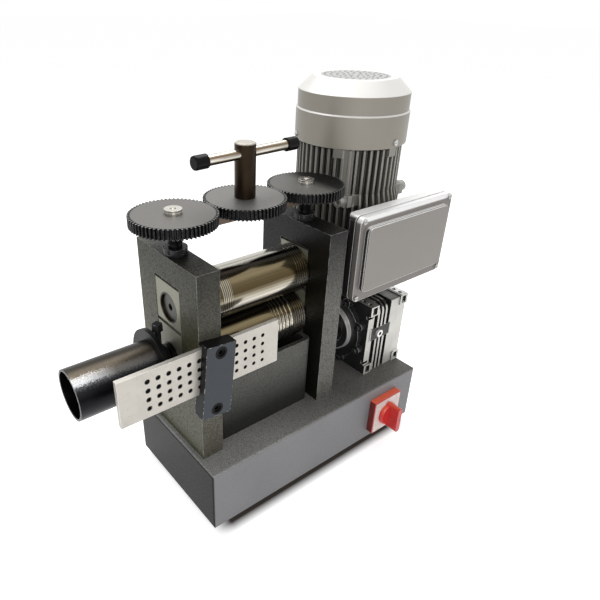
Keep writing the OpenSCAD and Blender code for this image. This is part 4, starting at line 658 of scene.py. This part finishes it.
# Handle: a browned post worn bright on its top, a plated bar that slides through it, and
# two moulded end caps pushed on the bar.
post_steel = Finish("post_steel")
post_cloud = post_steel.grain(60.0, 5.0, post_steel.stretched(1.0, 1.0, 0.35))
post_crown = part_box("handle_post")[1].z
post_worn = post_steel.step(post_steel.along("Z"), post_crown - 0.0016, post_crown - 0.0006)
post_steel.look(
    Base_Color=post_steel.mix((post_worn + post_steel.edge(0.0007, 4.0) * 0.6).at_most(1.0),
                              post_steel.mix(post_cloud, seen_as(20, 13, 8), seen_as(54, 43, 30)),
                              seen_as(190, 184, 174)),
    Metallic=0.9, Roughness=0.24 + post_cloud * 0.16,
    Normal=post_steel.relief(post_steel.grain(900.0, 3.0, post_steel.stretched(1, 1, 0.2)),
                             0.00004, 0.0006))
coat(post_steel, "handle_post")
# The bar's colour bands are painted reflections, from its upper edge to its lower.
bar_steel = polished(
    "plated_bar", (0.0, (120, 104, 84)), (0.1, (236, 230, 216)), (0.3, (226, 218, 204)),
    (0.42, (150, 132, 108)), (0.52, (112, 94, 72)), (0.6, (196, 184, 166)), (0.74, (244, 240, 232)),
    (0.86, (150, 138, 120)), (1.0, (30, 26, 20)))
coat(bar_steel, "sliding_bar")

black_plastic = Finish("black_plastic")
plastic_grain = black_plastic.grain(900.0, 2.0)
black_plastic.look(Base_Color=black_plastic.mix(plastic_grain, (0.002, 0.002, 0.002),
                                                (0.007, 0.007, 0.008)),
                   Roughness=0.16 + plastic_grain * 0.1, Specular_IOR_Level=0.1,
                   Normal=black_plastic.relief(plastic_grain, 0.00002, 0.0012))
coat(black_plastic, "bar_caps")

# Plate holder and draw plate: a painted block screwed to the pillar with a slot behind
# it, and the ground steel plate that slides in the slot under a clamp screw.
holder_paint = Finish("holder_paint")
screw_recess = (0.0077, 0.0082)
chips = holder_paint.step(holder_paint.grain(260.0, 5.0), 0.5, 0.56)
holder_edge = (holder_paint.edge(0.0009, 6.0) * chips * 1.2).at_most(1.0)
holder_front = holder_paint.step(holder_paint.turned(0, -1, 0), 0.5, 0.8)
holder_cloud = holder_paint.grain(30.0, 3.0)
# Painted shade: the counterbores round the two screws are made black.
recess_shade = 0.0
for screw_name in ("holder_screw", "plate_clamp_screw"):
    screw_low, screw_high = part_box(screw_name)
    recess_shade = 1.0 - holder_paint.step(holder_paint.reach((screw_low + screw_high) / 2, y=0.0),
                                   *screw_recess) + recess_shade
holder_edge = holder_edge * (1.0 - recess_shade)
holder_paint.look(
    Base_Color=holder_paint.mix(holder_edge, holder_paint.mix(
        holder_front * (0.8 + holder_cloud * 0.2) * (1.0 - recess_shade), (0.004, 0.004, 0.004),
        seen_as(80, 84, 89)), (0.6, 0.59, 0.57)),
    Metallic=holder_edge * 0.8, Roughness=0.42 - holder_edge * 0.1, Specular_IOR_Level=0.12,
    Normal=holder_paint.relief(holder_paint.grain(500.0, 3.0) - holder_edge * 0.6, 0.00008, 0.0006))
coat(holder_paint, "plate_holder")

socket_black = Finish("socket_oxide")
socket_cloud = socket_black.grain(180.0, 3.0)
socket_black.look(
    Base_Color=socket_black.mix(socket_cloud, (0.002, 0.002, 0.002), (0.010, 0.010, 0.010)),
    Metallic=0.2, Specular_IOR_Level=0.1, Roughness=0.4 + socket_cloud * 0.1,
    Normal=socket_black.relief(socket_black.grain(1500.0, 2.0), 0.00002, 0.0004))
coat(socket_black, "holder_screw", "plate_clamp_screw")

plate_steel = Finish("ground_plate")
ground = plate_steel.grain(1.0, 3.0, plate_steel.stretched(60.0, 60.0, 2600.0))
plate_blot = plate_steel.grain(55.0, 4.0)
rust = plate_steel.step(plate_steel.grain(130.0, 5.0), 0.6, 0.78)
plate_low, plate_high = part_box("draw_plate")
plate_mid = (plate_low.z + plate_high.z) / 2
plate_x = plate_steel.along("X")
plate_z = plate_steel.along("Z")
plate_turned = plate_steel.turned(0, 1, 0)
hole_pitch_x = 0.0127
hole_pitch_z = 0.0118
first_hole_x = plate_low.x + 0.03402
first_hole_z = plate_mid - 0.018644
first_sink_x = plate_low.x + 0.02785
last_sink_x = plate_low.x + 0.03415 + 12.5 * hole_pitch_x
lowest_sink_z = plate_mid - 0.02455
highest_sink_z = plate_mid + 0.02265
widest_sink = 0.0036
sink_taper = 0.0044
hole_across = plate_steel.node("ShaderNodeMath", {"operation": "FRACT"}, {
    0: (plate_x - first_hole_x) / hole_pitch_x + 0.5}) - 0.5
hole_up = plate_steel.node("ShaderNodeMath", {"operation": "FRACT"}, {
    0: (plate_z - first_hole_z) / hole_pitch_z + 0.5}) - 0.5
hole_reach = plate_steel.node("ShaderNodeMath", {"operation": "SQRT"}, {
    0: hole_across * hole_across * hole_pitch_x ** 2 + hole_up * hole_up * hole_pitch_z ** 2})
hole_rows = plate_steel.between(plate_z, lowest_sink_z, highest_sink_z, 0.0001)
hole_shown = (plate_steel.between(plate_x, first_sink_x, last_sink_x, 0.0001) * hole_rows
              * plate_steel.step(plate_steel.turned(0, -1, 0), 0.9, 0.97))
hole_size = widest_sink - (plate_x - plate_low.x) * sink_taper
# Painted countersinks round the holes, dark with painted shade and eased on their lit side as a
# painted highlight; the hole walls are painted black as shade.
hole_lit = plate_steel.step(hole_across - hole_up, 0.06, 0.16)
countersink_shade = hole_shown * (1.0 - plate_steel.step(hole_reach - hole_size, -0.0004, 0.0))
plate_field = (plate_steel.step(plate_x, plate_low.x + 0.010, plate_low.x + 0.012)
               * plate_steel.step(plate_x, plate_high.x, plate_high.x - 0.008))
hole_wall_shade = ((1.0 - plate_steel.step(plate_turned * plate_turned, 0.6, 0.9)
               + plate_steel.edge(0.0006, 6.0)).at_most(1.0) * plate_field * hole_rows)
plate_bare = plate_steel.mix(plate_blot * 0.7 + ground * 0.3, (0.64, 0.61, 0.55),
                             (0.46, 0.44, 0.40))
plate_face = plate_steel.mix(plate_steel.edge(0.0009, 5.0), plate_steel.mix(
    rust * 0.5, plate_bare, (0.36, 0.30, 0.25)), (0.95, 0.95, 0.93))
plate_steel.look(
    Base_Color=plate_steel.mix(
        (hole_wall_shade + countersink_shade * (1.0 - hole_lit * 0.55)).at_most(1.0), plate_face,
        (0.004, 0.004, 0.004)),
    Metallic=0.55, Roughness=0.34 + plate_blot * 0.16,
    Normal=plate_steel.relief(ground, 0.00001, 0.0006))
coat(plate_steel, "draw_plate")

# Gearbox: a worm gear housing cast in aluminium, left as cast between its machined pads. Its colour
# carries painted shade in its ribbed recesses, on its left faces and on its tops, and painted
# highlights along its outer edges and on the right frame's top. Its bronze wheel turns the output
# shaft in the bolted cover, and a steel gear on the shaft's end drives the rollers.
cast_alloy = Finish("cast_alloy")
cast_skin = cast_alloy.grain(420.0, 4.0)
cast_cloud = cast_alloy.grain(28.0, 4.0)
cast_x = cast_alloy.along("X")
cast_z = cast_alloy.along("Z")
case_low, case_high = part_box("gearbox_housing")
plug_low, plug_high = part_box("oil_plug")
left_frame_w = 0.012
ribbed_end_w = 0.035
right_frame_w = 0.016
pad_margin = 0.004
case_deep = (cast_alloy.step(cast_alloy.along("Y"), case_low.y + 0.0035, case_low.y + 0.0055)
             * (1.0 - cast_alloy.step(cast_z, case_high.z - 0.0038, case_high.z - 0.0022)))
case_left = cast_alloy.step(cast_alloy.turned(-1, 0, 0), 0.5, 0.8)
case_ribs = cast_alloy.between(cast_x, case_low.x + left_frame_w, case_high.x - ribbed_end_w,
                               0.001)
case_pad = case_ribs * cast_alloy.between(cast_z, plug_low.z - pad_margin,
                                          plug_high.z + pad_margin, 0.001)
case_up = cast_alloy.step(cast_alloy.turned(0, 0, 1), 0.5, 0.8)
case_right = cast_alloy.step(cast_x, case_high.x - right_frame_w - 0.0005,
                             case_high.x - right_frame_w + 0.0005)
case_edge = cast_alloy.edge(0.0009, 5.0)
case_shade_mask = ((case_deep + case_left).at_most(1.0) + case_pad + case_ribs * case_edge
             + case_up * (1.0 - case_right) * 0.75).at_most(1.0)
case_face = cast_alloy.mix(cast_cloud, seen_as(236, 235, 229), seen_as(184, 182, 176))
case_bare_and_lit = cast_alloy.mix(case_up * case_right, case_face, (0.93, 0.93, 0.91))
case_shade = cast_alloy.mix(cast_cloud, (0.010, 0.010, 0.010), (0.035, 0.035, 0.034))
cast_alloy.look(
    Base_Color=cast_alloy.mix(case_edge * (1.0 - case_ribs) * 0.85, cast_alloy.mix(
        case_shade_mask, case_bare_and_lit, case_shade), (0.93, 0.92, 0.9)),
    Metallic=0.35, Roughness=0.34 + cast_cloud * 0.2,
    Normal=cast_alloy.relief(cast_skin, 0.00008, 0.0007))
coat(cast_alloy, "gearbox_housing")

turned_alloy = Finish("cover_paint")
cover_cloud = turned_alloy.grain(60.0, 4.0)
output_low, output_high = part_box("output_gear")
cover_reach = turned_alloy.reach((output_low + output_high) / 2, x=0.0)
bare_ring = (0.03425, 0.03645)
cover_ring = turned_alloy.between(cover_reach, *bare_ring, 0.0005)
turned_alloy.look(
    Base_Color=turned_alloy.mix(
        (turned_alloy.edge(0.0008, 4.0) * 0.8 + cover_ring).at_most(1.0),
        turned_alloy.mix(cover_cloud, (0.014, 0.014, 0.014), (0.065, 0.065, 0.063)),
        (0.8, 0.8, 0.78)),
    Metallic=0.6, Roughness=0.3 + cover_cloud * 0.2,
    Normal=turned_alloy.relief(turned_alloy.grain(500.0, 3.0), 0.00006, 0.0008))
coat(turned_alloy, "output_cover")
coat(small_black, "cover_bolts")

plug_steel = Finish("plug_steel")
plug_bite = plug_steel.grain(160.0, 3.0)
plug_reach = plug_steel.reach((plug_low + plug_high) / 2, y=0.0)
# Painted shade: the plug's socket is a black disc in its centre.
plug_steel.look(
    Base_Color=plug_steel.mix(plug_steel.step(plug_reach, 0.0026, 0.0032), (0.004, 0.004, 0.004),
                              plug_steel.mix(plug_bite, (0.95, 0.94, 0.92), (0.8, 0.78, 0.74))),
    Metallic=0.5, Roughness=0.22 + plug_bite * 0.12,
    Normal=plug_steel.relief(plug_steel.grain(2400.0, 2.0), 0.00001, 0.0004))
coat(plug_steel, "oil_plug")

plain_steel = Finish("turned_steel")
steel_cloud = plain_steel.grain(80.0, 4.0)
plain_steel.look(Base_Color=plain_steel.mix(steel_cloud, (0.5, 0.49, 0.48), (0.34, 0.33, 0.32)),
                 Metallic=1.0, Roughness=0.24 + steel_cloud * 0.16,
                 Normal=plain_steel.relief(plain_steel.grain(1600.0, 2.0), 0.00002, 0.0004))
coat(plain_steel, "worm", "output_shaft")

bronze = Finish("bearing_bronze")
bronze_tone = bronze.grain(90.0, 4.0)
# Painted shade: the faces that look along X are made near black.
bronze_shaded_ends = bronze.step(bronze.turned(1, 0, 0) * bronze.turned(1, 0, 0), 0.5, 0.8)
bronze.look(Base_Color=bronze.mix(bronze_shaded_ends, bronze.mix(
                bronze_tone, (0.30, 0.20, 0.10), (0.18, 0.12, 0.06)), (0.02, 0.018, 0.015)),
            Metallic=1.0, Roughness=0.26 + bronze_tone * 0.16,
            Normal=bronze.relief(bronze.grain(2200.0, 2.0), 0.00002, 0.0003))
coat(bronze, "worm_wheel")

bright_steel = Finish("bright_steel")
bright_smear = bright_steel.grain(50.0, 4.0, bright_steel.stretched(1.0, 4.0, 4.0))
bright_steel.look(
    Base_Color=bright_steel.mix(bright_smear, (0.74, 0.71, 0.66), (0.58, 0.54, 0.48)), Metallic=1.0,
    Roughness=0.14 + bright_smear * 0.12,
    Normal=bright_steel.relief(bright_steel.grain(2400.0, 2.0), 0.00001, 0.0004))
coat(bright_steel, "bearings")

# Motor: a finned aluminium frame between two end shields, in grey motor paint, around a wound
# stator. The valleys between the fins are painted near black as shade, and the fins lighten from
# left to right with painted light.
motor_paint = Finish("motor_paint")
motor_skin = motor_paint.grain(520.0, 3.0)
motor_cloud = motor_paint.grain(16.0, 3.0)
cowl_low, cowl_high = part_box("fan_cowl")
fins_low, fins_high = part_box("motor_frame")
motor_axis = (cowl_low + cowl_high) / 2
fin_gap = motor_paint.reach(motor_axis, z=0.0)
fin_valley, fin_top = 0.0665, 0.0735
lug_shoulder, lug_top = 0.0782, 0.0790
fin_crest = motor_paint.step(fin_gap, fin_valley, fin_top)
fin_lit_tone = motor_paint.mix(motor_paint.step(motor_paint.along("X"), fins_low.x, fins_high.x),
                           seen_as(130, 128, 120), seen_as(186, 184, 174))
fin_stain = motor_cloud * (
    1.0 - motor_paint.step(motor_paint.turned(-1, 0, 0), 0.3, 0.7) * 0.8)
fin_bare = motor_paint.mix(motor_paint.step(fin_gap, lug_shoulder, lug_top), fin_lit_tone,
                           (0.72, 0.71, 0.68))
motor_paint.look(
    Base_Color=motor_paint.mix(motor_paint.edge(0.0009, 4.0) * 0.8, motor_paint.mix(
        fin_crest, (0.034, 0.034, 0.031), motor_paint.mix(
            fin_stain, seen_as(122, 120, 112), fin_bare)), (0.72, 0.71, 0.68)),
    Metallic=0.25, Roughness=0.36 + motor_cloud * 0.16,
    Normal=motor_paint.relief(motor_skin, 0.00007, 0.0009))
coat(motor_paint, "motor_frame", "lower_shield", "upper_shield")
coat(plain_steel, "rotor")

laminations = Finish("laminations")
sheets = laminations.node("ShaderNodeTexWave", {"bands_direction": "Z"},
                          {"Vector": laminations.place(), "Scale": 320.0, "Distortion": 0.4})
laminations.look(Base_Color=laminations.mix(sheets, (0.16, 0.13, 0.10), (0.30, 0.20, 0.11)),
                 Metallic=0.5, Roughness=0.42 + sheets * 0.1,
                 Normal=laminations.relief(sheets, 0.00006))
coat(laminations, "stator")

# Fan cowl: one pressed steel cap in warm grey satin paint, with a ring of small air holes
# in its crown, held to the motor frame by three slotted screws over a moulded fan.
cowl_paint = Finish("cowl_paint")
cowl_peel = cowl_paint.grain(480.0, 2.0)
cowl_cloud = cowl_paint.grain(12.0, 3.0)
cowl_z = cowl_paint.along("Z")
holes_reach = (0.046, 0.048)
cowl_disc = 1.0 - cowl_paint.step(cowl_paint.reach(motor_axis, z=0.0), *holes_reach)
# Painted shade blackens the air holes' walls, and painted light makes the upward faces far paler
# than the sides.
cowl_hole_shade = (cowl_paint.step(cowl_z, cowl_high.z - 0.004, cowl_high.z - 0.003)
             * (1.0 - cowl_paint.step(cowl_paint.turned(0, 0, 1), 0.6, 0.8)) * cowl_disc)
cowl_crown = cowl_paint.step(cowl_z, cowl_high.z - 0.006, cowl_high.z - 0.005) * cowl_disc
cowl_side = cowl_paint.mix(cowl_cloud, (0.275, 0.255, 0.215), (0.325, 0.302, 0.26))
cowl_lit_top = cowl_paint.mix(cowl_crown, (0.76, 0.75, 0.72), (0.42, 0.42, 0.41))
cowl_paint.look(
    Base_Color=cowl_paint.mix(cowl_paint.edge(0.0014, 2.5) * 0.6 * (1.0 - cowl_crown),
                              cowl_paint.mix(cowl_hole_shade, cowl_paint.mix(
                                  cowl_paint.step(cowl_paint.turned(0, 0, 1), 0.3, 0.7),
                                  cowl_side, cowl_lit_top), (0.01, 0.01, 0.01)),
                              (0.85, 0.84, 0.81)),
    Metallic=0.3, Roughness=0.33 + cowl_cloud * 0.1,
    Normal=cowl_paint.relief(cowl_peel, 0.00004, 0.0014))
coat(cowl_paint, "fan_cowl")
coat(zinc, "cowl_screws")
coat(black_plastic, "fan")

# Control box: a die-cast aluminium case and lid with a dark rubber seal between them,
# satin blasted, and screwed together at the four corners. It holds the capacitors.
box_alloy = Finish("box_alloy")
box_skin = box_alloy.grain(900.0, 2.0)
box_cloud = box_alloy.grain(10.0, 3.0)
box_x = box_alloy.along("X")
box_y = box_alloy.along("Y")
box_z = box_alloy.along("Z")
lid_low, lid_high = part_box("box_lid")
behind_lid = box_alloy.step(box_y, lid_high.y - 0.0008, lid_high.y)
lid_side = ((1.0 - box_alloy.step(box_x, lid_low.x + 0.004, lid_low.x + 0.006))
            * (1.0 - behind_lid))
# Painted shade on the left faces and along the lid's seam, painted light on the tops and the lid's
# top rim, and painted highlights along the edges.
box_left_shade = (box_alloy.step(box_alloy.turned(-1, 0, 0), 0.5, 0.8) * 0.95 * (1.0 - lid_side))
box_seam_shade = (box_alloy.step(box_y, lid_low.y + 0.0008, lid_low.y + 0.0016)
              * (1.0 - behind_lid))
box_top_light = (box_alloy.step(box_alloy.turned(0, 0, 1), 0.4, 0.8)
          + box_alloy.step(box_z, lid_high.z - 0.0075, lid_high.z - 0.0055)).at_most(1.0)
box_blasted = box_alloy.mix(box_cloud, (0.27, 0.25, 0.232), (0.31, 0.292, 0.272))
box_front = box_alloy.mix(box_seam_shade * 0.35, box_blasted, (0.10, 0.095, 0.09))
box_alloy.look(
    Base_Color=box_alloy.mix(box_alloy.edge(0.0016, 4.0) * 0.85 * (1.0 - box_left_shade * 0.7),
                             box_alloy.mix(box_left_shade, box_alloy.mix(
                                 box_top_light, box_front, (0.93, 0.93, 0.92)),
                                 (0.008, 0.008, 0.008)),
                             (0.95, 0.95, 0.94)),
    Metallic=0.35 - box_left_shade * 0.35, Roughness=0.36 + box_cloud * 0.08,
    Specular_IOR_Level=0.25, Normal=box_alloy.relief(box_skin, 0.00003, 0.0016))
coat(box_alloy, "box_body", "box_lid")
coat(rubber, "box_gasket")
coat(plain_steel, "lid_screws")

pale_plastic = Finish("pale_plastic")
pale_stain = pale_plastic.grain(90.0, 4.0)
pale_plastic.look(Base_Color=pale_plastic.mix(pale_stain, (0.80, 0.72, 0.69), (0.86, 0.82, 0.79)),
                  Roughness=0.34 + pale_stain * 0.12,
                  Normal=pale_plastic.relief(pale_plastic.grain(1400.0, 2.0), 0.00001, 0.0006))
coat(pale_plastic, "capacitors")

# Switch: a moulded red frame and rotary knob over a pale face on the base's front, with its
# black contact block behind the sheet. A ring for off and a bar for on are printed on the face.
face_plastic = Finish("switch_face")
face_stain = face_plastic.grain(220.0, 4.0)
face_low, face_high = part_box("switch_face")
face_mid = (face_low + face_high) / 2
off_middle = face_mid + Vector((-0.014, 0.0, 0.009))
on_middle = face_mid + Vector((0.009, 0.0, 0.015))
off_ring = (0.00145, 0.00235)
off_mark = face_plastic.between(face_plastic.reach(off_middle, y=0.0), *off_ring, 0.0003)
on_bar = face_plastic.reach(on_middle, y=0.0, z=0.25)
on_mark = 1.0 - face_plastic.step(on_bar, 0.0005, 0.0008)
face_plastic.look(
    Base_Color=face_plastic.mix((off_mark + on_mark).at_most(1.0) * 0.85, face_plastic.mix(
        face_plastic.step(face_stain, 0.45, 0.7) * 0.6, (0.86, 0.80, 0.76),
        (0.66, 0.50, 0.47)), (0.06, 0.05, 0.05)),
    Roughness=0.34 + face_stain * 0.12,
    Normal=face_plastic.relief(face_plastic.grain(1400.0, 2.0), 0.00001, 0.0006))
coat(face_plastic, "switch_face")

red_plastic = Finish("red_plastic")
red_flow = red_plastic.grain(70.0, 3.0)
# Painted light makes the upper faces orange, and painted shade darkens the left faces.
red_lit_top = red_plastic.step(red_plastic.turned(-0.25, -0.25, 0.93), 0.55, 0.85)
red_shaded_left = red_plastic.step(red_plastic.turned(-1, 0, 0), 0.45, 0.75)
red_flat = red_plastic.mix(red_flow, (0.56, 0.018, 0.020), (0.68, 0.04, 0.032))
red_plastic.look(
    Base_Color=red_plastic.mix(red_shaded_left, red_plastic.mix(red_lit_top, red_flat, (0.95, 0.15, 0.07)),
                               (0.16, 0.012, 0.010)),
    Roughness=0.26 + red_flow * 0.12, Coat_Weight=0.2, Coat_Roughness=0.12,
    Normal=red_plastic.relief(red_plastic.grain(1500.0, 2.0), 0.00001, 0.0010))
coat(red_plastic, "switch_frame")

knob_plastic = Finish("knob_plastic")
knob_flow = knob_plastic.grain(70.0, 3.0)
# Painted light makes the upper faces lighter, and a black dot at the tip paints the shade in its
# hole.
knob_lit_top = knob_plastic.step(knob_plastic.turned(0.0, -0.2, 0.97), 0.3, 0.7)
knob_low, knob_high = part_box("switch_knob")
knob_tip = Vector(((knob_low.x + knob_high.x) / 2 + 0.002, knob_low.y,
                   (knob_low.z + knob_high.z) / 2))
knob_hole_shade = 1.0 - knob_plastic.step(knob_plastic.reach(knob_tip), 0.0016, 0.0020)
knob_flat = knob_plastic.mix(knob_flow, (0.60, 0.020, 0.020), (0.74, 0.040, 0.034))
knob_plastic.look(
    Base_Color=knob_plastic.mix(knob_hole_shade, knob_plastic.mix(
        knob_lit_top, knob_flat, (0.82, 0.08, 0.035)), (0.004, 0.003, 0.003)),
    Roughness=0.26 + knob_flow * 0.12, Coat_Weight=0.2, Coat_Roughness=0.12,
    Normal=knob_plastic.relief(knob_plastic.grain(1500.0, 2.0), 0.00001, 0.0010))
coat(knob_plastic, "switch_knob")
coat(black_plastic, "switch_body")
